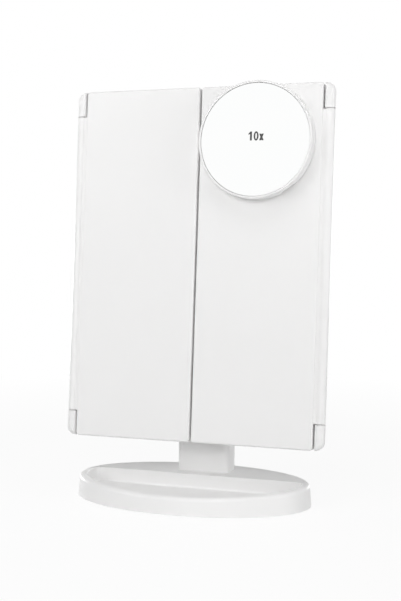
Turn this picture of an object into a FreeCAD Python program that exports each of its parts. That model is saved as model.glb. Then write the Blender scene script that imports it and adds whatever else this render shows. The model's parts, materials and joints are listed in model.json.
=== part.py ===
"""Lighted trifold makeup mirror on an oval tray base, with a stick-on round spot mirror.

Two frames are used, both in millimetres. The stand is drawn in the part's own frame: origin on
the floor under the middle of the base, X to the right, Y to the back, Z up. The head, the wings
and the spot mirror are drawn upright in the head's frame: origin at the middle of the bottom
front edge of the closed wings, X to the right, Y the depth behind their front, Z up. The head's
pose then leans them back about the tilt axis.
"""
import FreeCAD
import Part
import math
import os
import re
import Sketcher

V = FreeCAD.Vector

# Driving lengths, in millimetres
SIZES = {
    # whole object
    "overall_width": 180.0,
    "panel_height": 234.0,
    "overrun": 2.0,
    "fit_gap": 0.2,
    "press_gap": 0.02,
    "running_gap": 0.05,
    # oval base
    "base_length": 160.0,
    "base_depth": 100.0,
    "base_height": 14.2,
    "base_draft": 1.2,
    "base_edge_radius": 2.6,
    "base_wall": 2.0,
    "rim_width": 5.0,
    "rim_drop": 3.3,
    "rim_inner_radius": 0.8,
    "shelf_depth": 41.2,
    "tray_depth": 9.7,
    "tray_fillet": 1.5,
    "tray_corner_radius": 3.0,
    "base_plate_thickness": 1.6,
    "weight_thickness": 7.0,
    "weight_gap": 1.0,
    "base_boss_radius": 3.2,
    "base_screw_length": 8.0,
    "rear_screw_inset": 7.8,
    "foot_radius": 6.0,
    "foot_proud": 0.8,
    "foot_recess": 0.8,
    # neck
    "neck_width": 36.4,
    "neck_depth": 18.0,
    "neck_inset": 22.0,
    "neck_rise": 43.0,
    "neck_edge_radius": 4.0,
    "neck_wall": 2.4,
    "neck_floor": 4.0,
    "neck_boss_radius": 3.0,
    "neck_boss_height": 9.0,
    "tenon_width": 28.0,
    "tenon_depth": 10.0,
    "clamp_width": 40.0,
    "clamp_depth": 16.0,
    "clamp_thickness": 2.0,
    "neck_screw_spacing": 18.0,
    "neck_screw_length": 14.0,
    # tilt hinge
    "pivot_depth": 32.4,
    "pivot_rise": 22.0,
    "shaft_radius": 3.0,
    "bush_radius": 4.0,
    "bush_length": 10.0,
    "bush_flange_radius": 6.0,
    "bush_flange_thickness": 0.3,
    "lug_gap": 0.6,
    "lug_width": 8.0,
    "lug_radius": 8.0,
    "flange_width": 18.0,
    "flange_thickness": 2.4,
    "cap_radius": 5.0,
    "cap_recess": 1.6,
    "cap_proud": 0.6,
    "bracket_screw_length": 6.0,
    # wing hinges
    "barrel_radius": 3.2,
    "hinge_strip": 7.4,
    "ear_length": 16.4,
    "ear_gap": 0.9,
    "ear_corner_radius": 6.0,
    "ear_edge_radius": 3.0,
    "ear_inner_radius": 1.9,
    "pin_radius": 1.2,
    "pin_depth": 8.0,
    "washer_radius": 3.1,
    "washer_thickness": 0.3,
    # wings
    "wing_thickness": 6.4,
    "wing_wall": 1.6,
    "wing_side_wall": 1.8,
    "wing_corner_radius": 2.0,
    "wing_edge_radius": 1.2,
    "seam_gap": 1.15,
    "web_setback": 1.0,
    "wing_pad_thickness": 1.4,
    "wing_pad_inset": 6.0,
    "wing_glass_thickness": 2.2,
    "wing_bezel_width": 4.0,
    "wing_glass_overlap": 1.5,
    "keeper_radius": 22.0,
    "keeper_thickness": 1.2,
    # head frame, lights and centre mirror
    "closed_gap": 0.3,
    "frame_inset": 4.0,
    "frame_corner_radius": 8.0,
    "frame_edge_radius": 0.8,
    "frame_border": 5.0,
    "frame_wall": 1.9,
    "frame_lip": 1.2,
    "lip_overlap": 1.5,
    "chin_height": 16.0,
    "chin_wall": 1.8,
    "diffuser_width": 9.0,
    "diffuser_thickness": 1.3,
    "mirror_gap": 0.3,
    "centre_glass_thickness": 2.5,
    "centre_pad_thickness": 1.0,
    "centre_pad_inset": 6.0,
    "carrier_thickness": 1.6,
    "led_board_inset": 1.0,
    "led_board_width": 7.0,
    "led_board_thickness": 1.2,
    "led_length": 3.5,
    "led_width": 2.8,
    "led_height": 0.7,
    # rear cover
    "rear_cover_depth": 7.6,
    "rear_wall": 2.2,
    "cover_edge_radius": 7.0,
    "cover_boss_radius": 3.0,
    "cover_screw_reach": 60.0,
    "cover_screw_inset": 12.0,
    "small_screw_radius": 1.2,
    "small_head_radius": 2.4,
    "small_head_height": 1.0,
    "cross_length": 2.6,
    "cross_width": 0.6,
    "cross_depth": 0.5,
    "carrier_screw_radius": 0.7,
    "carrier_head_radius": 1.3,
    "carrier_head_height": 0.8,
    "carrier_screw_length": 3.0,
    # button and control board
    "button_radius": 4.6,
    "button_gap": 0.25,
    "button_flange": 1.2,
    "button_flange_thickness": 1.0,
    "button_stem_radius": 1.5,
    "button_stem_length": 0.5,
    "button_rise": 8.0,
    "button_dish_depth": 0.3,
    "switch_size": 6.0,
    "switch_height": 2.0,
    "switch_plunger_radius": 1.6,
    "switch_plunger_height": 0.3,
    "switch_window_gap": 1.0,
    "board_left": 18.0,
    "board_right": 52.0,
    "board_low": 3.6,
    "board_height": 14.0,
    "board_thickness": 1.2,
    "board_pin_radius": 0.9,
    "board_pin_inset": 2.5,
    "board_pin_proud": 0.6,
    "usb_offset": 42.0,
    "usb_width": 8.9,
    "usb_height": 3.2,
    "usb_length": 7.0,
    "usb_corner_radius": 1.3,
    "usb_wall": 0.35,
    "usb_rise": 1.5,
    "usb_tongue_width": 6.4,
    "usb_tongue_thickness": 0.7,
    "usb_tongue_setback": 0.8,
    # battery bay
    "hump_width": 58.0,
    "hump_low": 62.0,
    "hump_high": 130.0,
    "hump_proud": 7.0,
    "hump_corner_radius": 4.0,
    "hump_edge_radius": 1.0,
    "bay_floor_thickness": 1.2,
    "bay_wall": 1.6,
    "bay_low": 70.0,
    "cell_radius": 5.2,
    "cell_length": 42.6,
    "nub_radius": 1.9,
    "nub_length": 1.4,
    "cell_pitch": 11.0,
    "contact_thickness": 0.4,
    "contact_height": 9.0,
    "spring_length": 3.4,
    "spring_radius": 2.8,
    "spring_wire_radius": 0.3,
    "door_width": 46.0,
    "door_thickness": 2.0,
    "door_tongue": 1.6,
    "tongue_thickness": 0.8,
    "door_low": 67.0,
    "ridge_length": 16.0,
    "ridge_width": 1.2,
    "ridge_proud": 0.5,
    "ridge_pitch": 2.6,
    "ridge_inset": 8.0,
    # leads inside the head
    "lead_radius": 0.6,
    "lead_spacing": 3.0,
    "lead_bend": 3.2,
    "led_lead_rise": 34.0,
    # round spot mirror
    "spot_shift": 1.05,
    "spot_drop": 37.0,
    "spot_radius": 38.0,
    "spot_back_radius": 37.9,
    "spot_depth": 8.4,
    "spot_clearance": 0.3,
    "spot_wall": 1.4,
    "spot_floor": 1.8,
    "spot_edge_radius": 0.7,
    "spot_glass_gap": 0.3,
    "spot_glass_thickness": 2.6,
    "spot_glass_setback": 0.7,
    "spot_glass_sag": 0.9,
    "spot_pad_width": 6.0,
    "spot_pad_inset": 6.0,
    "notch_radius": 5.0,
    "notch_depth": 3.6,
    "notch_height": 3.2,
    "magnet_radius": 5.0,
    "magnet_thickness": 2.5,
    "magnet_ring": 15.0,
    "magnet_cup_wall": 0.8,
    "magnet_cup_height": 1.4,
    "spot_foot_radius": 4.0,
    "spot_foot_thickness": 0.8,
    "spot_foot_proud": 0.15,
}

# Angles in degrees, counts, and places given as shares of the size that they follow
ANGLES = {"lean_angle": 5.0, "notch_angle": -55.0}
COUNTS = {
    "led_side_count": 8,
    "led_top_count": 5,
    "ridge_count": 5,
    "cell_count": 4,
    "spring_quarter_count": 13,
    "magnet_count": 3,
}
SHARES = {
    "foot_x_share": 0.25,
    "foot_y_share": 0.32,
    "base_screw_x_share": 0.4,
    "base_screw_y_share": 0.15,
    "rear_screw_x_share": 0.14,
    "lead_bend_share": 0.45,
}
CARRIER_SCREW_SHARES = (0.08, 0.5, 0.92)
COVER_SCREW_ROWS = ("cover_screw_inset", "panel_height / 2", "panel_height - cover_screw_inset")

# Places worked out from the driving lengths
FORMULAS = {
    # heights in the stand
    "base_top": "foot_proud + base_height",
    "tray_floor": "base_top - tray_depth",
    "shelf_under": "base_top - base_wall",
    "tray_under": "tray_floor - base_wall",
    "plate_top": "foot_proud + base_plate_thickness",
    "shelf_edge": "base_depth / 2 - shelf_depth",
    "crown_start": "shelf_edge - rim_width",
    "crown_reach": "crown_start + base_depth / 2",
    "crown_radius": "(crown_reach ^ 2 + rim_drop ^ 2) / (2 * rim_drop)",
    "neck_centre": "base_depth / 2 - neck_inset",
    "cavity_major": "base_length / 2 - base_draft - base_wall",
    "cavity_minor": "base_depth / 2 - base_draft - base_wall",
    "pivot_height": "base_top + neck_rise",
    "neck_front": "neck_centre - neck_depth / 2",
    "neck_back": "neck_centre + neck_depth / 2",
    "neck_cavity_low": "base_top + neck_floor",
    "neck_cavity_high": "pivot_height - bush_radius - neck_wall",
    # wing hinges, seen from the front
    "hinge_reach": "overall_width / 2 - barrel_radius",
    "wing_edge": "overall_width / 2 - hinge_strip",
    "frame_reach": "overall_width / 2 - frame_inset",
    "ear_inner": "wing_edge + ear_gap",
    "barrel_low": "ear_length + washer_thickness + 2 * fit_gap",
    # depths behind the front of the closed wings
    "hinge_depth": "wing_thickness / 2",
    "wing_glass_front": "wing_wall + wing_pad_thickness",
    "wing_glass_back": "wing_glass_front + wing_glass_thickness",
    "frame_front": "wing_thickness + closed_gap",
    "glass_front": "frame_front + frame_lip",
    "glass_back": "glass_front + centre_glass_thickness",
    "carrier_front": "glass_back + centre_pad_thickness",
    "frame_back": "carrier_front + carrier_thickness",
    "cover_back": "frame_back + rear_cover_depth",
    "cavity_back": "cover_back - rear_wall",
    "hump_back": "cover_back + hump_proud",
    # outlines in the head
    "rebate_reach": "frame_reach - frame_border",
    "carrier_reach": "frame_reach - frame_wall",
    "diffuser_reach": "rebate_reach - fit_gap",
    "diffuser_inner": "diffuser_reach - diffuser_width",
    "mirror_reach": "diffuser_inner - mirror_gap",
    "rebate_top": "panel_height - frame_border",
    "diffuser_top": "rebate_top - fit_gap",
    "mirror_top": "diffuser_top - diffuser_width - mirror_gap",
    "mirror_low": "chin_height + fit_gap",
    "carrier_screw_reach": "(rebate_reach + carrier_reach) / 2",
    # battery bay
    "bay_floor": "frame_back + fit_gap + bay_floor_thickness",
    "bay_half_width": "cell_count * cell_pitch / 2 + fit_gap",
    "bay_length": "2 * contact_thickness + spring_length + cell_length + nub_length + fit_gap",
    "bay_high": "bay_low + bay_length",
    "cell_depth": "bay_floor + fit_gap + cell_radius",
    "door_front": "hump_back - door_thickness",
    "door_half_width": "door_width / 2",
    # tilt hinge
    "lug_inner": "neck_width / 2 + lug_gap",
    "lug_outer": "lug_inner + lug_width",
    "bracket_screw_reach": "lug_outer + flange_width / 2",
    # spot mirror, its depths counted forward from the wing
    "spot_offset": "(seam_gap / 2 + wing_edge) / 2 - spot_shift",
    "spot_rise": "panel_height - spot_drop",
    "spot_front": "spot_clearance + spot_depth",
    "spot_floor_front": "spot_clearance + spot_floor",
    "spot_glass_front": "spot_front - spot_glass_setback",
    "spot_glass_back": "spot_glass_front - spot_glass_thickness",
    "spot_glass_radius": "spot_radius - spot_wall - spot_glass_gap",
    "spot_bowl_radius": "(spot_glass_radius ^ 2 + spot_glass_sag ^ 2) / (2 * spot_glass_sag)",
}

doc = FreeCAD.newDocument("makeup_mirror")
pieces = []


def make_sheet():
    """The spreadsheet of driving values, the object of worked-out places, and a gauge for reading one."""
    sheet = doc.addObject("Spreadsheet::Sheet", "dims")
    values = {**SIZES, **ANGLES, **COUNTS, **SHARES}
    for row, (alias, number) in enumerate(values.items(), start=1):
        sheet.set(f"A{row}", alias)
        sheet.set(f"B{row}", str(number))
        sheet.setAlias(f"B{row}", alias)
    doc.recompute()
    places = doc.addObject("App::FeaturePython", "places")
    for name, formula in FORMULAS.items():
        places.addProperty("App::PropertyFloat", name)
        places.setExpression(name, in_document(formula))
    gauge = doc.addObject("App::FeaturePython", "gauge")
    gauge.addProperty("App::PropertyFloat", "reading")
    doc.recompute()
    return gauge


def in_document(text):
    """A formula with each plain name replaced by the sheet's cell or the worked-out place."""
    def owner(match):
        word = match.group(0)
        if word in FORMULAS:
            return f"places.{word}"
        known = word in SIZES or word in ANGLES or word in COUNTS or word in SHARES
        return f"dims.{word}" if known else word
    return re.sub(r"[a-z][a-z_]*", owner, str(text))


def value(text):
    """The number that a formula gives now."""
    gauge.setExpression("reading", in_document(text))
    gauge.recompute()
    return gauge.reading


def bind(item, **formulas):
    for prop, text in formulas.items():
        item.setExpression(prop, in_document(text))


def put(item, x, y, z):
    """Bind an object's position to three formulas."""
    for axis, text in zip("xyz", (x, y, z)):
        item.setExpression(f"Placement.Base.{axis}", in_document(text))


def box(name, x, y, z):
    """A block between pairs of formulas for its ends along X, Y and Z."""
    item = doc.addObject("Part::Box", name)
    bind(
        item, Length=f"({x[1]}) - ({x[0]})", Width=f"({y[1]}) - ({y[0]})",
        Height=f"({z[1]}) - ({z[0]})",
    )
    put(item, x[0], y[0], z[0])
    return item


# Turns that lay a cylinder's own axis, which is Z, along another axis
TURNS = {
    "x": FreeCAD.Rotation(V(0, 1, 0), 90),
    "y": FreeCAD.Rotation(V(1, 0, 0), -90),
    "-y": FreeCAD.Rotation(V(1, 0, 0), 90),
    "z": FreeCAD.Rotation(),
}


def rod(name, radius, along, ends, across):
    """A cylinder along X, Y or Z between two ends, at the two other coordinates given in order."""
    item = doc.addObject("Part::Cylinder", name)
    item.Placement = FreeCAD.Placement(V(0, 0, 0), TURNS[along])
    bind(item, Radius=radius, Height=f"({ends[1]}) - ({ends[0]})")
    start = list(across)
    start.insert("xyz".index(along), ends[0])
    put(item, *start)
    return item


def cut(name, base, *tools):
    item = doc.addObject("Part::Cut", name)
    item.Base = base
    item.Tool = tools[0] if len(tools) == 1 else fuse(f"{name}_tools", *tools)
    return item


def fuse(name, *items):
    item = doc.addObject("Part::MultiFuse", name)
    item.Shapes = list(items)
    return item


def common(name, first, second):
    item = doc.addObject("Part::Common", name)
    item.Base = first
    item.Tool = second
    return item


def group(name, items):
    item = doc.addObject("Part::Compound", name)
    item.Links = list(items)
    return item


def rounded(name, base, radius, wanted):
    """Round the edges that the test picks, with a radius from the sheet."""
    doc.recompute()
    size = value(radius)
    item = doc.addObject("Part::Fillet", name)
    item.Base = base
    item.Edges = [(i, size, size) for i, edge in enumerate(base.Shape.Edges, start=1) if wanted(edge)]
    return item


def level(edge, height):
    """Whether an edge lies flat at a height."""
    near = value("press_gap")
    heights = [corner.Z for corner in edge.Vertexes] + [edge.CenterOfMass.z]
    return all(abs(found - height) < near for found in heights)


def outline_sketch(body, name, plane, corner, size, radius, offset):
    """A rounded rectangle on one of the body's planes, from its low corner, with its size bound."""
    sketch = body.newObject("Sketcher::SketchObject", name)
    support = [item for item in body.Origin.OriginFeatures if item.Role == plane][0]
    sketch.AttachmentSupport = [(support, "")]
    sketch.MapMode = "FlatFace"
    for axis, text in zip("xyz", (*corner, offset)):
        sketch.setExpression(f"AttachmentOffset.Base.{axis}", in_document(text))
    wide, tall, bend = value(size[0]), value(size[1]), value(radius)
    sides = (
        (V(bend, 0, 0), V(wide - bend, 0, 0)),
        (V(wide, bend, 0), V(wide, tall - bend, 0)),
        (V(wide - bend, tall, 0), V(bend, tall, 0)),
        (V(0, tall - bend, 0), V(0, bend, 0)),
    )
    centres = (
        V(wide - bend, bend, 0), V(wide - bend, tall - bend, 0), V(bend, tall - bend, 0),
        V(bend, bend, 0),
    )
    for start, end in sides:
        sketch.addGeometry(Part.LineSegment(start, end))
    for turn, centre in enumerate(centres):
        first = math.radians(-90 + 90 * turn)
        ring = Part.Circle(centre, V(0, 0, 1), bend)
        sketch.addGeometry(Part.ArcOfCircle(ring, first, first + math.pi / 2))
    rule = Sketcher.Constraint
    for side in range(4):
        sketch.addConstraint(rule("Tangent", side, 2, 4 + side, 1))
        sketch.addConstraint(rule("Tangent", 4 + side, 2, (side + 1) % 4, 1))
    for side, kind in enumerate(("Horizontal", "Vertical", "Horizontal", "Vertical")):
        sketch.addConstraint(rule(kind, side))
    for arc in (5, 6, 7):
        sketch.addConstraint(rule("Equal", 4, arc))
    sketch.addConstraint(rule("PointOnObject", 3, 1, -2))
    sketch.addConstraint(rule("PointOnObject", 0, 1, -1))
    bound = (
        (rule("Radius", 4, bend), radius),
        (rule("DistanceX", 3, 1, 1, 1, wide), size[0]),
        (rule("DistanceY", 0, 1, 2, 1, tall), size[1]),
    )
    for constraint, text in bound:
        index = sketch.addConstraint(constraint)
        sketch.setExpression(f"Constraints[{index}]", in_document(text))
    return sketch


def slab(name, x, z, depth, radius, front_edge="", back_edge=""):
    """A rounded plate that faces the front: X and Z ends, depth ends, corner and edge radii."""
    body = doc.addObject("PartDesign::Body", name)
    size = (f"({x[1]}) - ({x[0]})", f"({z[1]}) - ({z[0]})")
    sketch = outline_sketch(
        body, f"{name}_outline", "XZ_Plane", (x[0], z[0]), size, radius, f"-({depth[1]})",
    )
    pad = body.newObject("PartDesign::Pad", f"{name}_block")
    pad.Profile = sketch
    bind(pad, Length=f"({depth[1]}) - ({depth[0]})")
    for edge_radius, place in ((front_edge, depth[0]), (back_edge, depth[1])):
        if edge_radius:
            round_at_depth(body, value(place), edge_radius)
    return body


def round_at_depth(body, depth, radius):
    """Round every edge of a body that lies at one depth."""
    doc.recompute()
    near = value("press_gap")
    last = body.Tip
    names = []
    for index, edge in enumerate(last.Shape.Edges, start=1):
        bounds = edge.BoundBox
        if abs(bounds.YMin - depth) < near and abs(bounds.YMax - depth) < near:
            names.append(f"Edge{index}")
    fillet = body.newObject("PartDesign::Fillet", f"{body.Name}_edge")
    fillet.Base = (last, names)
    bind(fillet, Radius=radius)


def upright(name, x, y, z, radius):
    """A rounded plate that lies flat: X and Y ends, heights, and corner radius."""
    body = doc.addObject("PartDesign::Body", name)
    size = (f"({x[1]}) - ({x[0]})", f"({y[1]}) - ({y[0]})")
    sketch = outline_sketch(body, f"{name}_outline", "XY_Plane", (x[0], y[0]), size, radius, z[0])
    pad = body.newObject("PartDesign::Pad", f"{name}_block")
    pad.Profile = sketch
    bind(pad, Length=f"({z[1]}) - ({z[0]})")
    return body


def ellipse(name, major, minor, height):
    item = doc.addObject("Part::Ellipse", name)
    bind(item, MajorRadius=major, MinorRadius=minor)
    put(item, "0", "0", height)
    return item


def oval(name, low, high):
    """A solid between two level ovals, each given as half length, half depth and height."""
    item = doc.addObject("Part::Loft", name)
    item.Sections = [ellipse(f"{name}_low", *low), ellipse(f"{name}_high", *high)]
    item.Solid = True
    item.Ruled = True
    return item


def straight_oval(name, major, minor, low, high):
    """An upright oval column between two heights."""
    item = doc.addObject("Part::Extrusion", name)
    item.Base = ellipse(f"{name}_low", major, minor, low)
    item.DirMode = "Custom"
    item.Dir = V(0, 0, 1)
    item.Solid = True
    bind(item, LengthFwd=f"({high}) - ({low})")
    return item


def both(reach):
    """Left and right ends of something centred on X."""
    return f"-({reach})", reach


def sided(side, inner, outer):
    """X ends on the right for side 1, and their mirror image for side -1."""
    return (inner, outer) if side > 0 else (f"-({outer})", f"-({inner})")


def keep(node, item, in_head):
    """Name a finished sub-part and note whether it leans with the head."""
    item.Label = node
    pieces.append((node, item, in_head))


def screw(name, along, place, head_start, radius, length, head_radius, head_height):
    """A screw: its head starts at head_start and its shank runs on along Y or Z from the head."""
    head = rod(f"{name}_head", head_radius, along, (head_start, f"{head_start} + {head_height}"), place)
    inside = f"{head_start} + {head_height}"
    shank = rod(f"{name}_shank", radius, along, (inside, f"{inside} + {length}"), place)
    body = fuse(f"{name}_body", head, shank)
    return cut(name, body, *cross_recess(name, along, place, head_start))


def cross_recess(name, along, place, head_start):
    """Two crossed slots in the face of a screw head."""
    slots = []
    for halves in (("cross_length / 2", "cross_width / 2"), ("cross_width / 2", "cross_length / 2")):
        spans = [(f"{spot} - {half}", f"{spot} + {half}") for spot, half in zip(place, halves)]
        spans.insert("xyz".index(along), (f"{head_start} - overrun", f"{head_start} + cross_depth"))
        slots.append(box(f"{name}_slot", *spans))
    return slots


# The stand


def base_screw_places():
    outer = [
        (f"{side} * base_screw_x_share * base_length", "base_screw_y_share * base_depth")
        for side in (-1, 1)
    ]
    rear = [
        (f"{side} * rear_screw_x_share * base_length", "cavity_minor - rear_screw_inset")
        for side in (-1, 1)
    ]
    return outer + rear


def make_base_tray():
    taper = "base_draft * (base_height + overrun) / base_height"
    top = (f"base_length / 2 - {taper}", f"base_depth / 2 - {taper}", "base_top + overrun")
    tall = oval("tray_tall", ("base_length / 2", "base_depth / 2", "foot_proud"), top)
    blank = common("tray_blank", tall, crown())
    outer = rounded("tray_outer", blank, "base_edge_radius", is_on_crown)
    rim = straight_oval(
        "tray_rim", "base_length / 2 - base_draft - rim_width", "base_depth / 2 - base_draft - rim_width",
        "tray_floor", "base_top + overrun",
    )
    front = box(
        "tray_front", both("base_length / 2"), ("-base_depth / 2", "shelf_edge"),
        ("0", "base_top + base_height"),
    )
    pocket = common("tray_pocket", rim, front)
    corners = rounded("tray_corners", pocket, "tray_corner_radius", is_tray_corner)
    recess = rounded(
        "tray_recess", corners, "tray_fillet", lambda edge: level(edge, value("tray_floor")),
    )
    low = straight_oval(
        "tray_hollow", "cavity_major", "cavity_minor", "foot_proud - overrun", "tray_under",
    )
    deep = straight_oval(
        "shelf_blank", "cavity_major", "cavity_minor", "foot_proud - overrun", "shelf_under",
    )
    rear = box(
        "shelf_rear", both("base_length / 2"), ("shelf_edge + base_wall", "base_depth / 2"),
        ("-base_height", "base_top"),
    )
    hollow = common("shelf_hollow", deep, rear)
    socket = box(
        "tenon_socket", both("tenon_width / 2 + fit_gap"),
        ("neck_centre - tenon_depth / 2 - fit_gap", "neck_centre + tenon_depth / 2 + fit_gap"),
        ("shelf_under - overrun", "base_top + overrun"),
    )
    dished = cut("tray_dished", outer, recess)
    eased = rounded("tray_eased", dished, "rim_inner_radius", is_tray_lip)
    shell = cut("tray_shell", eased, low, hollow, socket)
    bosses = [
        rod("base_boss", "base_boss_radius", "z", ("plate_top", "shelf_under + base_wall / 2"), place)
        for place in base_screw_places()
    ]
    holes = [
        rod(
            "base_pilot", "small_screw_radius + press_gap", "z",
            ("foot_proud", "plate_top + base_screw_length"), place,
        )
        for place in base_screw_places()
    ]
    keep("base_tray", cut("base_tray", fuse("tray_bossed", shell, *bosses), *holes), False)


def crown():
    """All that lies below the top of the base: level behind, falling to the front in a wide arc."""
    across = both("base_length")
    behind = box("crown_behind", across, ("crown_start", "base_depth"), ("0", "base_top"))
    arc = rod("crown_arc", "crown_radius", "x", across, ("crown_start", "base_top - crown_radius"))
    ahead = box("crown_ahead", across, ("-base_depth", "crown_start"), ("0", "base_top"))
    return fuse("crown", behind, common("crown_fall", arc, ahead))


def is_on_crown(edge):
    """An edge in the top of the base, apart from the line where its level part ends."""
    bounds = edge.BoundBox
    near = value("fit_gap")
    crest = bounds.YLength < near and abs(bounds.YMin - value("crown_start")) < near
    return bounds.ZMin > value("base_top - 2 * rim_drop") and not crest


def is_tray_corner(edge):
    """The two upright edges where the tray's straight back wall meets its round wall."""
    bounds = edge.BoundBox
    return bounds.ZLength > value("tray_depth") and bounds.YMin > value("shelf_edge - fit_gap")


def is_tray_lip(edge):
    """The upper edges of the tray recess: in the top, in front of the neck and inside the rim."""
    bounds = edge.BoundBox
    reach = max(abs(bounds.XMin), abs(bounds.XMax))
    inside = reach < value("base_length / 2 - base_draft - (rim_width + base_edge_radius) / 2")
    forward = bounds.YMax < value("shelf_edge + rim_width / 2")
    return is_on_crown(edge) and inside and forward


def foot_places():
    return [
        (f"{x} * foot_x_share * base_length", f"{y} * foot_y_share * base_depth")
        for x in (-1, 1) for y in (-1, 1)
    ]


def make_base_underside():
    blank = straight_oval(
        "plate_blank", "cavity_major - fit_gap", "cavity_minor - fit_gap", "foot_proud", "plate_top",
    )
    holes = []
    for place in foot_places():
        holes.append(rod(
            "foot_seat", "foot_radius + fit_gap", "z", ("0", "foot_proud + foot_recess"), place,
        ))
    for place in base_screw_places():
        holes.append(rod(
            "plate_sink", "small_head_radius + fit_gap", "z", ("0", "foot_proud + small_head_height"),
            place,
        ))
        holes.append(rod(
            "plate_hole", "small_screw_radius + fit_gap", "z", ("0", "plate_top + overrun"), place,
        ))
    keep("base_plate", cut("base_plate", blank, *holes), False)

    feet = [
        rod("foot", "foot_radius", "z", ("0", "foot_proud + foot_recess"), place)
        for place in foot_places()
    ]
    keep("base_feet", group("base_feet", feet), False)

    screws = [
        screw(
            "base_screw", "z", place, "foot_proud", "small_screw_radius",
            "base_screw_length - small_head_height", "small_head_radius", "small_head_height",
        )
        for place in base_screw_places()
    ]
    keep("base_screws", group("base_screws", screws), False)

    top = "plate_top + weight_thickness"
    oval_blank = straight_oval(
        "weight_oval", "cavity_major - weight_gap", "cavity_minor - weight_gap", "plate_top", top,
    )
    rear = box(
        "weight_rear", both("base_length / 2"),
        ("shelf_edge + base_wall + weight_gap", "base_depth / 2"), ("0", "base_top"),
    )
    clear = [
        rod("weight_hole", "base_boss_radius + fit_gap", "z", ("0", "base_top"), place)
        for place in base_screw_places()
    ]
    keep("base_weight", cut("base_weight", common("weight_blank", oval_blank, rear), *clear), False)


def neck_screw_places():
    return [(f"{side} * neck_screw_spacing / 2", "neck_centre") for side in (-1, 1)]


def arch(name):
    """The neck's side outline, straight below and half round about the tilt axis, drawn out across X."""
    body = doc.addObject("PartDesign::Body", name)
    sketch = body.newObject("Sketcher::SketchObject", f"{name}_outline")
    support = [item for item in body.Origin.OriginFeatures if item.Role == "YZ_Plane"][0]
    sketch.AttachmentSupport = [(support, "")]
    sketch.MapMode = "FlatFace"
    for axis, text in zip("xyz", ("neck_front", "base_top", "-neck_width / 2")):
        sketch.setExpression(f"AttachmentOffset.Base.{axis}", in_document(text))
    wide, tall = value("neck_depth"), value("neck_rise")
    crown = Part.Circle(V(wide / 2, tall, 0), V(0, 0, 1), wide / 2)
    sketch.addGeometry(Part.LineSegment(V(0, 0, 0), V(wide, 0, 0)))
    sketch.addGeometry(Part.LineSegment(V(wide, 0, 0), V(wide, tall, 0)))
    sketch.addGeometry(Part.ArcOfCircle(crown, 0, math.pi))
    sketch.addGeometry(Part.LineSegment(V(0, tall, 0), V(0, 0, 0)))
    rule = Sketcher.Constraint
    sketch.addConstraint(rule("Coincident", 0, 1, -1, 1))
    sketch.addConstraint(rule("Coincident", 0, 2, 1, 1))
    sketch.addConstraint(rule("Coincident", 3, 2, 0, 1))
    sketch.addConstraint(rule("Tangent", 1, 2, 2, 1))
    sketch.addConstraint(rule("Tangent", 2, 2, 3, 1))
    sketch.addConstraint(rule("Horizontal", 0))
    sketch.addConstraint(rule("Vertical", 1))
    sketch.addConstraint(rule("Vertical", 3))
    for constraint, text in (
        (rule("DistanceX", 0, 1, 0, 2, wide), "neck_depth"),
        (rule("DistanceY", 1, 1, 1, 2, tall), "neck_rise"),
    ):
        index = sketch.addConstraint(constraint)
        sketch.setExpression(f"Constraints[{index}]", in_document(text))
    pad = body.newObject("PartDesign::Pad", f"{name}_block")
    pad.Profile = sketch
    bind(pad, Length="neck_width")
    doc.recompute()
    near = value("press_gap")
    side, foot = value("neck_width / 2"), value("base_top")
    names = []
    for index, edge in enumerate(pad.Shape.Edges, start=1):
        bounds = edge.BoundBox
        on_side = abs(abs(bounds.XMin) - side) < near and bounds.XLength < near
        if on_side and bounds.ZMax > foot + near:
            names.append(f"Edge{index}")
    fillet = body.newObject("PartDesign::Fillet", f"{name}_edge")
    fillet.Base = (pad, names)
    bind(fillet, Radius="neck_edge_radius")
    return body


def neck_door_size(gap):
    """X and Z ends of the neck's rear opening, drawn in by a gap."""
    reach = f"neck_width / 2 - neck_edge_radius - {gap}"
    return both(reach), (f"neck_cavity_low + {gap}", f"neck_cavity_high - {gap}")


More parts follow.
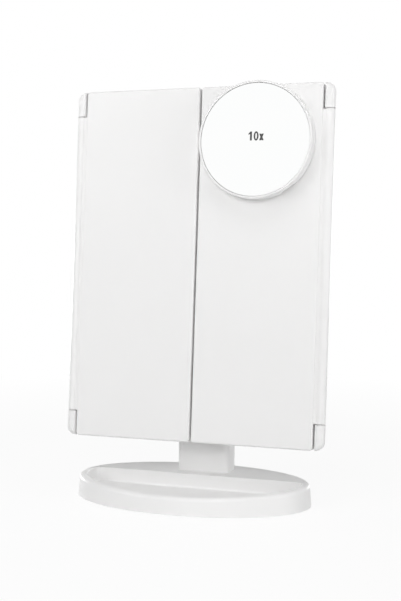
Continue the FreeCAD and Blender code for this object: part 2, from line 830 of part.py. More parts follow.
def make_neck():
    tenon = box(
        "tenon", both("tenon_width / 2"),
        ("neck_centre - tenon_depth / 2", "neck_centre + tenon_depth / 2"),
        ("shelf_under", "base_top + neck_floor / 2"),
    )
    x, z = neck_door_size("0")
    hollow = box("neck_hollow", x, ("neck_front + neck_wall", "neck_back + overrun"), z)
    bosses = [
        rod(
            "neck_boss", "neck_boss_radius", "z",
            ("base_top + neck_floor / 2", "neck_cavity_low + neck_boss_height"), place,
        )
        for place in neck_screw_places()
    ]
    pilot_end = "shelf_under - clamp_thickness + neck_screw_length + press_gap"
    pilots = [
        rod(
            "neck_pilot", "small_screw_radius + press_gap", "z",
            ("shelf_under - overrun", pilot_end), place,
        )
        for place in neck_screw_places()
    ]
    bore = rod(
        "bush_bore", "bush_radius + press_gap", "x", both("neck_width / 2 + overrun"),
        ("neck_centre", "pivot_height"),
    )
    shell = cut("neck_shell", arch("neck_arch"), hollow)
    keep("neck", cut("neck", fuse("neck_bossed", shell, tenon, *bosses), bore, *pilots), False)

    x, z = neck_door_size("fit_gap")
    cover = slab("neck_cover", x, z, ("neck_back - neck_wall", "neck_back"), "fit_gap")
    keep("neck_cover", cover, False)

    clamp = box(
        "clamp_blank", both("clamp_width / 2"),
        ("neck_centre - clamp_depth / 2", "neck_centre + clamp_depth / 2"),
        ("shelf_under - clamp_thickness", "shelf_under"),
    )
    holes = [
        rod("clamp_hole", "small_screw_radius + fit_gap", "z", ("0", "base_top"), place)
        for place in neck_screw_places()
    ]
    keep("neck_clamp", cut("neck_clamp", clamp, *holes), False)

    head_start = "shelf_under - clamp_thickness - small_head_height"
    screws = [
        screw(
            "neck_screw", "z", place, head_start, "small_screw_radius", "neck_screw_length",
            "small_head_radius", "small_head_height",
        )
        for place in neck_screw_places()
    ]
    keep("neck_screws", group("neck_screws", screws), False)

    bushes = []
    axis = ("neck_centre", "pivot_height")
    for side in (-1, 1):
        sleeve = rod(
            "bush_sleeve", "bush_radius", "x",
            sided(side, "neck_width / 2 - bush_length", "neck_width / 2"), axis,
        )
        outer = "neck_width / 2 + bush_flange_thickness"
        flange = rod(
            "bush_flange", "bush_flange_radius", "x", sided(side, "neck_width / 2", outer), axis,
        )
        hole = rod("shaft_bore", "shaft_radius + running_gap", "x", both("neck_width"), axis)
        bushes.append(cut("tilt_bush", fuse("bush_blank", sleeve, flange), hole))
    keep("tilt_bushes", group("tilt_bushes", bushes), False)


# The head


def carrier_screw_places():
    return [
        (f"{side} * carrier_screw_reach", f"{share} * panel_height")
        for side in (-1, 1) for share in CARRIER_SCREW_SHARES
    ]


def cover_screw_places():
    return [(f"{side} * cover_screw_reach", row) for side in (-1, 1) for row in COVER_SCREW_ROWS]


def bracket_screw_places():
    return [
        (f"{side} * bracket_screw_reach", f"pivot_rise + {rise} * lug_radius / 2")
        for side in (-1, 1) for rise in (-1, 1)
    ]


def ear_ends(top):
    return ("panel_height - ear_length", "panel_height") if top else ("0", "ear_length")


def make_front_frame():
    blank = slab(
        "frame_blank", both("frame_reach"), ("0", "panel_height"), ("frame_front", "frame_back"),
        "frame_corner_radius", front_edge="frame_edge_radius",
    )
    corners = slab(
        "ear_blank", both("overall_width / 2"), ("0", "panel_height"), ("0", "wing_thickness"),
        "ear_corner_radius", front_edge="ear_edge_radius", back_edge="ear_edge_radius",
    )
    joined = [blank]
    pin_bores = []
    for side in (-1, 1):
        for top in (False, True):
            reach = sided(side, "ear_inner", "overall_width")
            space = upright(
                "ear_space", reach, ("0", "2 * wing_thickness"), ear_ends(top), "ear_inner_radius",
            )
            joined.append(common("ear", corners, space))
            rise = ("ear_corner_radius", "ear_length")
            if top:
                rise = ("panel_height - ear_length", "panel_height - ear_corner_radius")
            root_depth = ("hinge_depth", "frame_front + frame_lip")
            joined.append(box(
                "ear_root", sided(side, "ear_inner", "frame_reach"), root_depth, rise,
            ))
            bore = ("ear_length - pin_depth - fit_gap", "ear_length + overrun")
            if top:
                bore = tuple(f"panel_height - ({end})" for end in reversed(bore))
            pin_bores.append(rod(
                "pin_bore", "pin_radius + press_gap", "z", bore,
                (f"{side} * hinge_reach", "hinge_depth"),
            ))
    solid = fuse("frame_solid", *joined)
    rebate = slab(
        "frame_rebate", both("rebate_reach"), ("chin_height", "rebate_top"),
        ("glass_front", "frame_back + overrun"), "fit_gap",
    )
    window = slab(
        "frame_window", both("rebate_reach - lip_overlap"),
        ("chin_height + lip_overlap", "rebate_top - lip_overlap"),
        ("frame_front - overrun", "frame_back"), "lip_overlap",
    )
    seat = slab(
        "carrier_seat", both("carrier_reach"), ("frame_wall", "panel_height - frame_wall"),
        ("carrier_front", "frame_back + overrun"), "frame_corner_radius - frame_wall",
    )
    chin = box(
        "chin_pocket", both("rebate_reach"), ("frame_front + chin_wall", "frame_back"),
        ("frame_wall", "chin_height - frame_wall"),
    )
    button_hole = rod(
        "button_hole", "button_radius + button_gap", "y", ("frame_front - overrun", "frame_back"),
        ("0", "button_rise"),
    )
    pilots = [
        rod(
            "carrier_pilot", "carrier_screw_radius + press_gap", "y",
            ("carrier_front - carrier_screw_length", "frame_back"), place,
        )
        for place in carrier_screw_places()
    ]
    tools = [rebate, window, seat, chin, button_hole, *pilots, *pin_bores]
    keep("front_frame", cut("front_frame", solid, *tools), True)


def board_pin_places():
    xs = ("-board_left + board_pin_inset", "board_right - board_pin_inset")
    zs = ("board_low + board_pin_inset", "board_low + board_height - board_pin_inset")
    return [(x, z) for x in xs for z in zs]


def lead_hole_places():
    return [
        (f"{side} * (diffuser_reach - led_board_inset - led_board_width / 2)", "led_lead_rise")
        for side in (-1, 1)
    ]


def make_carrier():
    blank = slab(
        "carrier_blank", both("carrier_reach - fit_gap"),
        ("frame_wall + fit_gap", "panel_height - frame_wall - fit_gap"),
        ("carrier_front", "frame_back"), "frame_corner_radius - frame_wall",
    )
    posts = [
        rod(
            "cover_boss", "cover_boss_radius", "y",
            ("carrier_front + carrier_thickness / 2", "cavity_back"), place,
        )
        for place in cover_screw_places()
    ]
    pin_end = "frame_back + board_thickness + board_pin_proud"
    posts += [
        rod("board_pin", "board_pin_radius", "y", ("carrier_front", pin_end), place)
        for place in board_pin_places()
    ]
    half = "switch_size / 2 + switch_window_gap"
    holes = [
        box(
            "switch_window", both(half), ("0", "frame_back + overrun"),
            (f"button_rise - ({half})", f"button_rise + {half}"),
        ),
    ]
    holes += [
        rod(
            "cover_pilot", "small_screw_radius + press_gap", "y",
            ("carrier_front + carrier_thickness / 2", "cover_back"), place,
        )
        for place in cover_screw_places()
    ]
    holes += [
        rod("lead_hole", "2 * lead_radius", "y", ("0", "cover_back"), place)
        for place in lead_hole_places()
    ]
    for place in carrier_screw_places():
        holes.append(rod(
            "carrier_hole", "carrier_screw_radius + fit_gap", "y", ("0", "cover_back"), place,
        ))
        sink = ("frame_back - carrier_head_height", "cover_back")
        holes.append(rod("carrier_sink", "carrier_head_radius + fit_gap", "y", sink, place))
    keep("carrier_plate", cut("carrier_plate", fuse("carrier_posts", blank, *posts), *holes), True)

    screws = []
    for place in carrier_screw_places():
        head = rod(
            "carrier_head", "carrier_head_radius", "y",
            ("frame_back - carrier_head_height", "frame_back"), place,
        )
        tip = ("carrier_front - carrier_screw_length + fit_gap", "frame_back - carrier_head_height")
        screws.append(fuse(
            "carrier_screw", head, rod("carrier_shank", "carrier_screw_radius", "y", tip, place),
        ))
    keep("carrier_screws", group("carrier_screws", screws), True)


def u_frame(name, reach, low, top, width, depth):
    """Two legs and a top bar of one width, facing the front."""
    outer = slab(f"{name}_outer", both(reach), (low, top), depth, "fit_gap")
    inner_depth = (f"{depth[0]} - overrun", f"{depth[1]} + overrun")
    inner = slab(
        f"{name}_inner", both(f"{reach} - {width}"), (f"{low} - overrun", f"{top} - {width}"),
        inner_depth, "fit_gap",
    )
    return cut(name, outer, inner)


def make_lights_and_mirror():
    depth = ("glass_front", "glass_back")
    span = ("mirror_low", "mirror_top")
    keep("centre_mirror", slab("centre_mirror", both("mirror_reach"), span, depth, "mirror_gap"), True)
    pad_x = both("mirror_reach - centre_pad_inset")
    pad_z = ("mirror_low + centre_pad_inset", "mirror_top - centre_pad_inset")
    pad = slab("centre_mirror_pad", pad_x, pad_z, ("glass_back", "carrier_front"), "lip_overlap")
    keep("centre_mirror_pad", pad, True)

    depth = ("glass_front", "glass_front + diffuser_thickness")
    shade = u_frame(
        "light_diffuser", "diffuser_reach", "mirror_low", "diffuser_top", "diffuser_width", depth,
    )
    keep("light_diffuser", shade, True)

    reach = "diffuser_reach - led_board_inset"
    board_low, board_top = "mirror_low + led_board_width", "diffuser_top - led_board_inset"
    depth = ("carrier_front - led_board_thickness", "carrier_front")
    keep("led_board", u_frame("led_board", reach, board_low, board_top, "led_board_width", depth), True)

    depth = ("carrier_front - led_board_thickness - led_height", "carrier_front - led_board_thickness")
    chips = []
    for index in range(COUNTS["led_side_count"]):
        step = f"({board_top} - ({board_low})) * {2 * index + 1} / (2 * led_side_count)"
        middle = f"{board_low} + {step}"
        ends = (f"{middle} - led_length / 2", f"{middle} + led_length / 2")
        for side in (-1, 1):
            inner = f"{reach} - led_board_width / 2 - led_width / 2"
            outer = f"{reach} - led_board_width / 2 + led_width / 2"
            chips.append(box("led_side", sided(side, inner, outer), depth, ends))
    row = (
        f"{board_top} - led_board_width / 2 - led_width / 2",
        f"{board_top} - led_board_width / 2 + led_width / 2",
    )
    for index in range(COUNTS["led_top_count"]):
        place = f"({reach} - led_board_width) * ({2 * index + 1} / led_top_count - 1)"
        chips.append(box(
            "led_top", (f"{place} - led_length / 2", f"{place} + led_length / 2"), depth, row,
        ))
    keep("led_chips", group("led_chips", chips), True)


def make_control_board():
    rear = "frame_back + board_thickness"
    blank = box(
        "board_blank", ("-board_left", "board_right"), ("frame_back", rear),
        ("board_low", "board_low + board_height"),
    )
    holes = [
        rod("board_hole", "board_pin_radius + fit_gap / 2", "y", ("0", "cover_back"), place)
        for place in board_pin_places()
    ]
    keep("control_board", cut("control_board", blank, *holes), True)

    half = "switch_size / 2"
    front = "frame_back - switch_height"
    case = box(
        "switch_case", both(half), (front, "frame_back"),
        (f"button_rise - {half}", f"button_rise + {half}"),
    )
    plunger = rod(
        "switch_plunger", "switch_plunger_radius", "y",
        (f"{front} - switch_plunger_height", "frame_back"), ("0", "button_rise"),
    )
    keep("tact_switch", fuse("tact_switch", case, plunger), True)

    x = ("usb_offset - usb_width / 2", "usb_offset + usb_width / 2")
    y = (rear, f"{rear} + usb_height")
    z = ("usb_rise", "usb_rise + usb_length")
    shell = upright("usb_shell", x, y, z, "usb_corner_radius")
    inner = upright(
        "usb_hollow", (f"{x[0]} + usb_wall", f"{x[1]} - usb_wall"),
        (f"{y[0]} + usb_wall", f"{y[1]} - usb_wall"),
        ("usb_rise - overrun", f"{z[1]} - usb_wall"), "usb_corner_radius - usb_wall",
    )
    middle = f"{rear} + usb_height / 2"
    tongue = box(
        "usb_tongue", ("usb_offset - usb_tongue_width / 2", "usb_offset + usb_tongue_width / 2"),
        (f"{middle} - usb_tongue_thickness / 2", f"{middle} + usb_tongue_thickness / 2"),
        ("usb_rise + usb_tongue_setback", f"{z[1]} - usb_wall / 2"),
    )
    keep("usb_socket", fuse("usb_socket", cut("usb_case", shell, inner), tongue), True)

    axis = ("0", "button_rise")
    inner_face = "frame_front + chin_wall + running_gap"
    flange_end = f"{inner_face} + button_flange_thickness"
    cap = rod("button_cap", "button_radius", "y", ("frame_front", flange_end), axis)
    flange = rod("button_flange", "button_radius + button_flange", "y", (inner_face, flange_end), axis)
    stem = rod(
        "button_stem", "button_stem_radius", "y",
        ("frame_front + chin_wall", f"{flange_end} + button_stem_length"), axis,
    )
    dish = doc.addObject("Part::Sphere", "button_dish")
    radius = "(button_radius ^ 2 / 2 + button_dish_depth ^ 2) / (2 * button_dish_depth)"
    bind(dish, Radius=radius)
    put(dish, "0", f"frame_front + button_dish_depth - {radius}", "button_rise")
    keep("power_button", cut("power_button", fuse("button_blank", cap, flange, stem), dish), True)


def make_rear_cover():
    outer = slab(
        "cover_outer", both("frame_reach"), ("0", "panel_height"), ("frame_back", "cover_back"),
        "frame_corner_radius", back_edge="cover_edge_radius",
    )
    cavity = slab(
        "cover_cavity", both("frame_reach - rear_wall"), ("rear_wall", "panel_height - rear_wall"),
        ("frame_back - overrun", "cavity_back"), "frame_corner_radius - rear_wall",
        back_edge="cover_edge_radius - rear_wall",
    )
    hump = slab(
        "battery_hump", both("hump_width / 2"), ("hump_low", "hump_high"), ("cavity_back", "hump_back"),
        "hump_corner_radius", back_edge="hump_edge_radius",
    )
    bay_box = box(
        "bay_box", both("bay_half_width + bay_wall"), ("frame_back + fit_gap", "cover_back"),
        ("bay_low - bay_wall", "bay_high + bay_wall"),
    )
    posts = [
        rod(
            "bracket_boss", "cover_boss_radius", "y",
            ("cover_back - bracket_screw_length", "cavity_back + rear_wall / 2"), place,
        )
        for place in bracket_screw_places()
    ]
    solid = fuse("cover_solid", cut("cover_shell", outer, cavity), hump, bay_box, *posts)
    door_base = "door_front - fit_gap"
    bay = box(
        "battery_bay", both("bay_half_width"), ("bay_floor", f"{door_base} + press_gap"),
        ("bay_low", "bay_high"),
    )
    ends = ("door_low - fit_gap", "hump_high + overrun")
    channel = box(
        "door_channel", both("door_half_width + door_tongue + fit_gap"),
        (door_base, "door_front + tongue_thickness + fit_gap"), ends,
    )
    mouth = box(
        "door_mouth", both("door_half_width + fit_gap"), (door_base, "hump_back + overrun"), ends,
    )
    holes = [bay, channel, mouth]
    for index in (-1, 1):
        place = (f"{index} * lead_spacing / 2", "frame_back + rear_wall")
        holes.append(rod(
            "lead_exit", "lead_radius + fit_gap", "z",
            ("bay_low - bay_wall - overrun", "bay_low + overrun"), place,
        ))
    for place in cover_screw_places():
        holes.append(rod(
            "cover_hole", "small_screw_radius + fit_gap", "y", ("frame_back", "cover_back + overrun"),
            place,
        ))
        sink = ("cover_back - small_head_height", "cover_back + overrun")
        holes.append(rod("cover_sink", "small_head_radius + fit_gap", "y", sink, place))
    for place in bracket_screw_places():
        pilot = ("cover_back - bracket_screw_length - overrun", "cover_back + overrun")
        holes.append(rod("bracket_pilot", "small_screw_radius + press_gap", "y", pilot, place))
    rear = "frame_back + board_thickness"
    holes.append(upright(
        "usb_mouth", ("usb_offset - usb_width / 2 - fit_gap", "usb_offset + usb_width / 2 + fit_gap"),
        (f"{rear} - fit_gap", f"{rear} + usb_height + fit_gap"),
        ("-overrun", "usb_rise + usb_length"), "usb_corner_radius",
    ))
    keep("rear_cover", cut("rear_cover", solid, *holes), True)

    screws = []
    for place in cover_screw_places():
        head = rod(
            "cover_head", "small_head_radius", "y", ("cover_back - small_head_height", "cover_back"),
            place,
        )
        shank_ends = (
            "carrier_front + carrier_thickness / 2 + fit_gap", "cover_back - small_head_height",
        )
        shank = rod("cover_shank", "small_screw_radius", "y", shank_ends, place)
        screws.append(cut(
            "cover_screw", fuse("cover_screw_body", head, shank),
            *rear_cross("cover_cross", place, "cover_back"),
        ))
    keep("cover_screws", group("cover_screws", screws), True)


def rear_cross(name, place, face):
    """Two crossed slots in a screw head that faces the back."""
    slots = []
    for halves in (("cross_length / 2", "cross_width / 2"), ("cross_width / 2", "cross_length / 2")):
        x = (f"{place[0]} - {halves[0]}", f"{place[0]} + {halves[0]}")
        z = (f"{place[1]} - {halves[1]}", f"{place[1]} + {halves[1]}")
        slots.append(box(name, x, (f"{face} - cross_depth", f"{face} + overrun"), z))
    return slots


def make_battery_parts():
    ends = ("door_low", "hump_high")
    plate = box("door_plate", both("door_half_width"), ("door_front", "hump_back"), ends)
    tongues = box(
        "door_tongues", both("door_half_width + door_tongue"),
        ("door_front", "door_front + tongue_thickness"), ends,
    )
    ridges = []
    for index in range(COUNTS["ridge_count"]):
        low = f"hump_high - ridge_inset - {index} * ridge_pitch"
        ridges.append(box(
            "door_ridge", both("ridge_length / 2"), ("door_front", "hump_back + ridge_proud"),
            (low, f"{low} + ridge_width"),
        ))
    keep("battery_door", fuse("battery_door", plate, tongues, *ridges), True)

    cells, contacts, springs = [], [], []
    low_face, high_face = "bay_low + contact_thickness", "bay_high - contact_thickness"
    for index in range(COUNTS["cell_count"]):
        x = f"({index} - (cell_count - 1) / 2) * cell_pitch"
        axis = (x, "cell_depth")
        upright_cell = index % 2 == 0
        if upright_cell:
            can = (
                f"{high_face} - fit_gap - nub_length - cell_length",
                f"{high_face} - fit_gap - nub_length",
            )
            nub = (can[1], f"{can[1]} + nub_length")
            coil_start = low_face
        else:
            can = (
                f"{low_face} + fit_gap + nub_length",
                f"{low_face} + fit_gap + nub_length + cell_length",
            )
            nub = (f"{can[0]} - nub_length", can[0])
            coil_start = f"{high_face} - spring_length"
        cells.append(fuse(
            "cell", rod("cell_can", "cell_radius", "z", can, axis),
            rod("cell_nub", "nub_radius", "z", nub, axis),
        ))
        springs.append(battery_spring(x, coil_start))
        depth = ("cell_depth - contact_height / 2", "cell_depth + contact_height / 2")
        span = (f"{x} - cell_radius + fit_gap", f"{x} + cell_radius - fit_gap")
        contacts.append(box("contact", span, depth, ("bay_low", low_face)))
        contacts.append(box("contact", span, depth, (high_face, "bay_high")))
    keep("battery_cells", group("battery_cells", cells), True)
    keep("battery_contacts", group("battery_contacts", contacts), True)
    coils = doc.addObject("Part::Feature", "battery_springs")
    coils.Shape = Part.makeCompound(springs)
    keep("battery_springs", coils, True)


def battery_spring(x, start):
    """A coil spring of quarter-turn arcs that stands along Z between a contact and a cell."""
    foot = V(value(x), value("cell_depth"), value(f"{start} + spring_wire_radius"))
    radius = value("spring_radius")
    climb = value("(spring_length - 2 * spring_wire_radius) / spring_quarter_count")

    def point(quarter):
        turn = quarter * math.pi / 2
        return foot + V(radius * math.cos(turn), radius * math.sin(turn), climb * quarter)

    arcs = [
        Part.Arc(point(quarter), point(quarter + 1 / 2), point(quarter + 1)).toShape()
        for quarter in range(COUNTS["spring_quarter_count"])
    ]
    heading = arcs[0].tangentAt(arcs[0].FirstParameter)
    ring = Part.Circle(point(0), heading, value("spring_wire_radius")).toShape()
    return Part.Wire(arcs).makePipeShell([Part.Wire([ring])], True, False)


def make_tilt_hinge():
    axis = ("pivot_depth", "pivot_rise")
    heights = ("pivot_rise - lug_radius", "pivot_rise + lug_radius")
    for side, node in ((-1, "tilt_bracket_left"), (1, "tilt_bracket_right")):
        ends = sided(side, "lug_inner", "lug_outer")
        arm = box("lug_arm", ends, ("cover_back", "pivot_depth"), heights)
        eye = rod("lug_eye", "lug_radius", "x", ends, axis)
        plate_ends = sided(side, "lug_inner", "lug_outer + flange_width")
        plate = box("lug_flange", plate_ends, ("cover_back", "cover_back + flange_thickness"), heights)
        holes = [
            rod("lug_bore", "shaft_radius + press_gap", "x", sided(side, "0", "2 * lug_outer"), axis),
            rod(
                "cap_seat", "cap_radius + press_gap", "x",
                sided(side, "lug_outer - cap_recess", "2 * lug_outer"), axis,
            ),
        ]
        for place in bracket_screw_places():
            through = ("cover_back - overrun", "cover_back + flange_thickness + overrun")
            holes.append(rod("flange_hole", "small_screw_radius + fit_gap", "y", through, place))
        keep(node, cut(node, fuse("lug_blank", arm, eye, plate), *holes), True)

    screws = []
    seat = "cover_back + flange_thickness"
    for place in bracket_screw_places():
        head = rod(
            "bracket_head", "small_head_radius", "y", (seat, f"{seat} + small_head_height"), place,
        )
        shank = rod(
            "bracket_shank", "small_screw_radius", "y", ("cover_back - bracket_screw_length", seat),
            place,
        )
        face = f"{seat} + small_head_height"
        screws.append(cut(
            "bracket_screw", fuse("bracket_screw_body", head, shank),
            *rear_cross("bracket_cross", place, face),
        ))
    keep("bracket_screws", group("bracket_screws", screws), True)

    shaft = rod("shaft_bar", "shaft_radius", "x", both("lug_outer - cap_recess"), axis)
    keep("tilt_shaft", group("tilt_shaft", [shaft]), True)
    caps = [
        rod(
            "shaft_cap", "cap_radius", "x",
            sided(side, "lug_outer - cap_recess", "lug_outer + cap_proud"), axis,
        )
        for side in (-1, 1)
    ]
    keep("shaft_caps", group("shaft_caps", caps), True)


def make_wing_hinges():
    pins, washers = [], []
    for side in (-1, 1):
        axis = (f"{side} * hinge_reach", "hinge_depth")
        for top in (False, True):
            pin = ("ear_length - pin_depth", "barrel_low + pin_depth")
            ring = ("ear_length + fit_gap", "ear_length + fit_gap + washer_thickness")
            if top:
                pin = tuple(f"panel_height - ({end})" for end in reversed(pin))
                ring = tuple(f"panel_height - ({end})" for end in reversed(ring))
            pins.append(rod("hinge_pin", "pin_radius", "z", pin, axis))
            hole = rod(
                "washer_hole", "pin_radius + running_gap", "z",
                (f"{ring[0]} - overrun", f"{ring[1]} + overrun"), axis,
            )
            washers.append(cut(
                "hinge_washer", rod("washer_disc", "washer_radius", "z", ring, axis), hole,
            ))
    keep("hinge_pins", group("hinge_pins", pins), True)
    keep("hinge_washers", group("hinge_washers", washers), True)


def make_leads():
    """Leads behind the carrier: from the battery bay to the board, and from the board to the LED board."""
    depth = value("frame_back + rear_wall")
    down = []
    for side in (-1, 1):
        x = side * value("lead_spacing") / 2
        top = V(x, depth, value("bay_low - bay_wall / 2"))
        corner = V(x, depth, value("board_low + board_height - 2 * lead_bend"))
        landing = V(x, value("frame_back + board_thickness"), corner.z)
        down.append(lead([top, corner, landing]))
    battery = doc.addObject("Part::Feature", "battery_leads")
    battery.Shape = Part.makeCompound(down)
    keep("battery_leads", battery, True)

    across = []
    for side, edge in ((-1, -value("board_left")), (1, value("board_right"))):
        hole_x = side * value("diffuser_reach - led_board_inset - led_board_width / 2")
        rise = value("led_lead_rise")
        board_x = edge - side * value("2 * lead_bend")
        board_z = value("board_low + board_height - lead_bend")
        points = [
            V(board_x, value("frame_back + board_thickness"), board_z),
            V(board_x, depth, board_z),
            V(board_x, depth, rise),
            V(hole_x, depth, rise),
            V(hole_x, value("carrier_front"), rise),
        ]
        across.append(lead(points))
    lights = doc.addObject("Part::Feature", "led_leads")
    lights.Shape = Part.makeCompound(across)
    keep("led_leads", lights, True)


def lead(points):
    """A round lead along straight runs with a tangent arc at each corner."""
    edges = []
    start = points[0]
    for before, corner, after in zip(points, points[1:], points[2:]):
        inward = (before - corner).normalize()
        onward = (after - corner).normalize()
        shortest = min((before - corner).Length, (after - corner).Length)
        bend = min(value("lead_bend"), value("lead_bend_share") * shortest)
        first, last = corner + inward * bend, corner + onward * bend
        middle = corner + (inward + onward) * bend * (1 - math.sqrt(0.5))
        edges.append(Part.LineSegment(start, first).toShape())
        edges.append(Part.Arc(first, middle, last).toShape())
        start = last
    edges.append(Part.LineSegment(start, points[-1]).toShape())
    path = Part.Wire(edges)
    ring = Part.Circle(points[0], points[1] - points[0], value("lead_radius")).toShape()
    return path.makePipeShell([Part.Wire([ring])], True, False)


# The wings and the spot mirror


def make_wing(side, name):
    inner, outer = "seam_gap / 2", "wing_edge"
    shell = slab(
        f"{name}_shell", sided(side, inner, outer), ("0", "panel_height"), ("0", "wing_thickness"),
        "wing_corner_radius", front_edge="wing_edge_radius",
    )
    axis = (f"{side} * hinge_reach", "hinge_depth")
    ends = ("barrel_low", "panel_height - barrel_low")
    barrel = rod(f"{name}_barrel", "barrel_radius", "z", ends, axis)
    web_depth = ("web_setback", "wing_thickness - web_setback")
    web = box(
        f"{name}_web", sided(side, f"{outer} - wing_side_wall / 2", "hinge_reach"), web_depth, ends,
    )
    pocket_x = sided(side, f"{inner} + wing_side_wall", f"{outer} - wing_side_wall")
    pocket_z = ("wing_side_wall", "panel_height - wing_side_wall")
    pocket = slab(
        f"{name}_pocket", pocket_x, pocket_z, ("wing_wall", "wing_thickness + overrun"),
        "wing_corner_radius / 2",
    )
    reach = "pin_depth + fit_gap"
    bores = [
        rod(
            f"{name}_bore", "pin_radius + running_gap", "z",
            (f"{end} - ({reach})", f"{end} + {reach}"), axis,
        )
        for end in ends
    ]
    cover = cut(f"{name}_cover", fuse(f"{name}_joined", shell, barrel, web), pocket, *bores)
    keep(f"{name}_cover", cover, True)

    seat = "wing_side_wall + fit_gap"
    ring_x = sided(side, f"{inner} + {seat}", f"{outer} - ({seat})")
    ring_z = (seat, f"panel_height - ({seat})")
    ring = slab(
        f"{name}_ring", ring_x, ring_z, ("wing_glass_front", "wing_thickness"),
        "wing_corner_radius / 2",
    )
    edge = "wing_side_wall + wing_bezel_width - wing_glass_overlap"
    glass_x = sided(side, f"{inner} + {edge}", f"{outer} - ({edge})")
    glass_z = (edge, f"panel_height - ({edge})")
    room = "fit_gap"
    nest_x = sided(side, f"{inner} + {edge} - {room}", f"{outer} - ({edge}) + {room}")
    nest_z = (f"{edge} - {room}", f"panel_height - ({edge}) + {room}")
    nest = slab(f"{name}_nest", nest_x, nest_z, ("0", "wing_glass_back"), "fit_gap")
    view = "wing_side_wall + wing_bezel_width"
    view_x = sided(side, f"{inner} + {view}", f"{outer} - ({view})")
    view_z = (view, f"panel_height - ({view})")
    window = slab(
        f"{name}_window", view_x, view_z, ("0", "wing_thickness + overrun"), "wing_corner_radius / 2",
    )
    keep(f"{name}_bezel", cut(f"{name}_bezel", ring, nest, window), True)
    glass = slab(f"{name}_mirror", glass_x, glass_z, ("wing_glass_front", "wing_glass_back"), "fit_gap")
    keep(f"{name}_mirror", glass, True)

    inset = f"{edge} + wing_pad_inset"
    pad_x = sided(side, f"{inner} + {inset}", f"{outer} - ({inset})")
    pad_z = (inset, f"panel_height - ({inset})")
    pad = slab(f"{name}_foam", pad_x, pad_z, ("wing_wall", "wing_glass_front"), "wing_corner_radius")
    spot_axis = ("spot_offset", "spot_rise")
    hole = rod(f"{name}_pad_hole", "keeper_radius + fit_gap", "y", ("0", "wing_thickness"), spot_axis)
    pad_node = f"{name}_pad"
    keep(pad_node, cut(pad_node, pad, hole) if side > 0 else group(pad_node, [pad]), True)
    if side > 0:
        disc = rod(
            "keeper_disc", "keeper_radius", "y", ("wing_wall", "wing_wall + keeper_thickness"),
            spot_axis,
        )
        keep("right_wing_keeper", group("right_wing_keeper", [disc]), True)


def spot_ring(name, radius, near, far, across=("spot_offset", "spot_rise")):
    """A disc of the spot mirror between two distances in front of the wing."""
    return rod(name, radius, "y", (f"-({far})", f"-({near})"), across)


def magnet_places():
    places_found = []
    for index in range(COUNTS["magnet_count"]):
        turn = f"90deg + 360deg * {index} / magnet_count"
        places_found.append((
            f"spot_offset + magnet_ring * cos({turn})", f"spot_rise + magnet_ring * sin({turn})",
        ))
    return places_found


def make_spot_mirror():
    cone = doc.addObject("Part::Cone", "spot_cone")
    cone.Placement = FreeCAD.Placement(V(0, 0, 0), TURNS["-y"])
    bind(cone, Radius1="spot_back_radius", Radius2="spot_radius", Height="spot_depth")
    put(cone, "spot_offset", "-spot_clearance", "spot_rise")
    near = value("press_gap")
    outer = rounded("spot_outer", cone, "spot_edge_radius", lambda edge: edge.BoundBox.YLength < near)
    cup_reach = "spot_back_radius - spot_wall"
    hollow = spot_ring(
        "spot_hollow", f"{cup_reach} - spot_pad_inset / 2", "spot_floor_front", "spot_front + overrun",
    )
    nest = spot_ring(
        "spot_nest", "spot_glass_radius + spot_glass_gap", "spot_glass_back", "spot_front + overrun",
    )
    notch = notch_tool()
    cups = [
        spot_ring(
            "magnet_cup", "magnet_radius + magnet_cup_wall", "spot_floor_front - spot_floor / 2",
            "spot_floor_front + magnet_cup_height", place,
        )
        for place in magnet_places()
    ]
    seats = [
        spot_ring(
            "magnet_seat", "magnet_radius + press_gap", "spot_floor_front", "spot_front + overrun",
            place,
        )
        for place in magnet_places()
    ]
    foot_seats = [
        spot_ring(
            "spot_foot_seat", "spot_foot_radius + press_gap", "0",
            "spot_clearance - spot_foot_proud + spot_foot_thickness", place,
        )
        for place in magnet_places()
    ]
    cup = cut("spot_cup", outer, hollow, nest, notch)
    housing = cut("spot_housing", fuse("spot_cupped", cup, *cups), *seats, *foot_seats)
    keep("spot_housing", housing, True)

    disc = spot_ring("spot_disc", "spot_glass_radius", "spot_glass_back", "spot_glass_front")
    bowl = doc.addObject("Part::Sphere", "spot_bowl")
    bind(bowl, Radius="spot_bowl_radius")
    put(bowl, "spot_offset", "-(spot_glass_front + spot_bowl_radius - spot_glass_sag)", "spot_rise")
    keep("spot_glass", cut("spot_glass", disc, bowl), True)

    pad_outer = f"{cup_reach} - spot_pad_inset"
    ring = spot_ring("spot_pad_disc", pad_outer, "spot_floor_front", "spot_glass_back")
    hole = spot_ring("spot_pad_hole", f"{pad_outer} - spot_pad_width", "0", "spot_front")
    keep("spot_pad", cut("spot_pad", ring, hole), True)

    magnets = [
        spot_ring(
            "magnet", "magnet_radius", "spot_floor_front", "spot_floor_front + magnet_thickness", place,
        )
        for place in magnet_places()
    ]
    keep("spot_magnets", group("spot_magnets", magnets), True)
    start = "spot_clearance - spot_foot_proud"
    feet = [
        spot_ring("spot_foot", "spot_foot_radius", start, f"{start} + spot_foot_thickness", place)
        for place in magnet_places()
    ]
    keep("spot_feet", group("spot_feet", feet), True)


def notch_tool():
    """A finger scoop in the back edge of the spot mirror's rim, cut square to the rim."""
    turn = "notch_angle * 1deg"
    reach = "spot_back_radius + notch_radius - notch_depth"
    place = (f"spot_offset + ({reach}) * cos({turn})", f"spot_rise + ({reach}) * sin({turn})")
    return spot_ring("finger_notch", "notch_radius", "0", "spot_clearance + notch_height", place)


def head_pose():
    """The placement that leans the head back about the tilt axis on top of the neck."""
    lean = FreeCAD.Rotation(V(1, 0, 0), -value("lean_angle"))
    in_head = V(0, value("pivot_depth"), value("pivot_rise"))
    in_stand = V(0, value("neck_centre"), value("pivot_height"))
    return FreeCAD.Placement(in_stand - lean.multVec(in_head), lean)


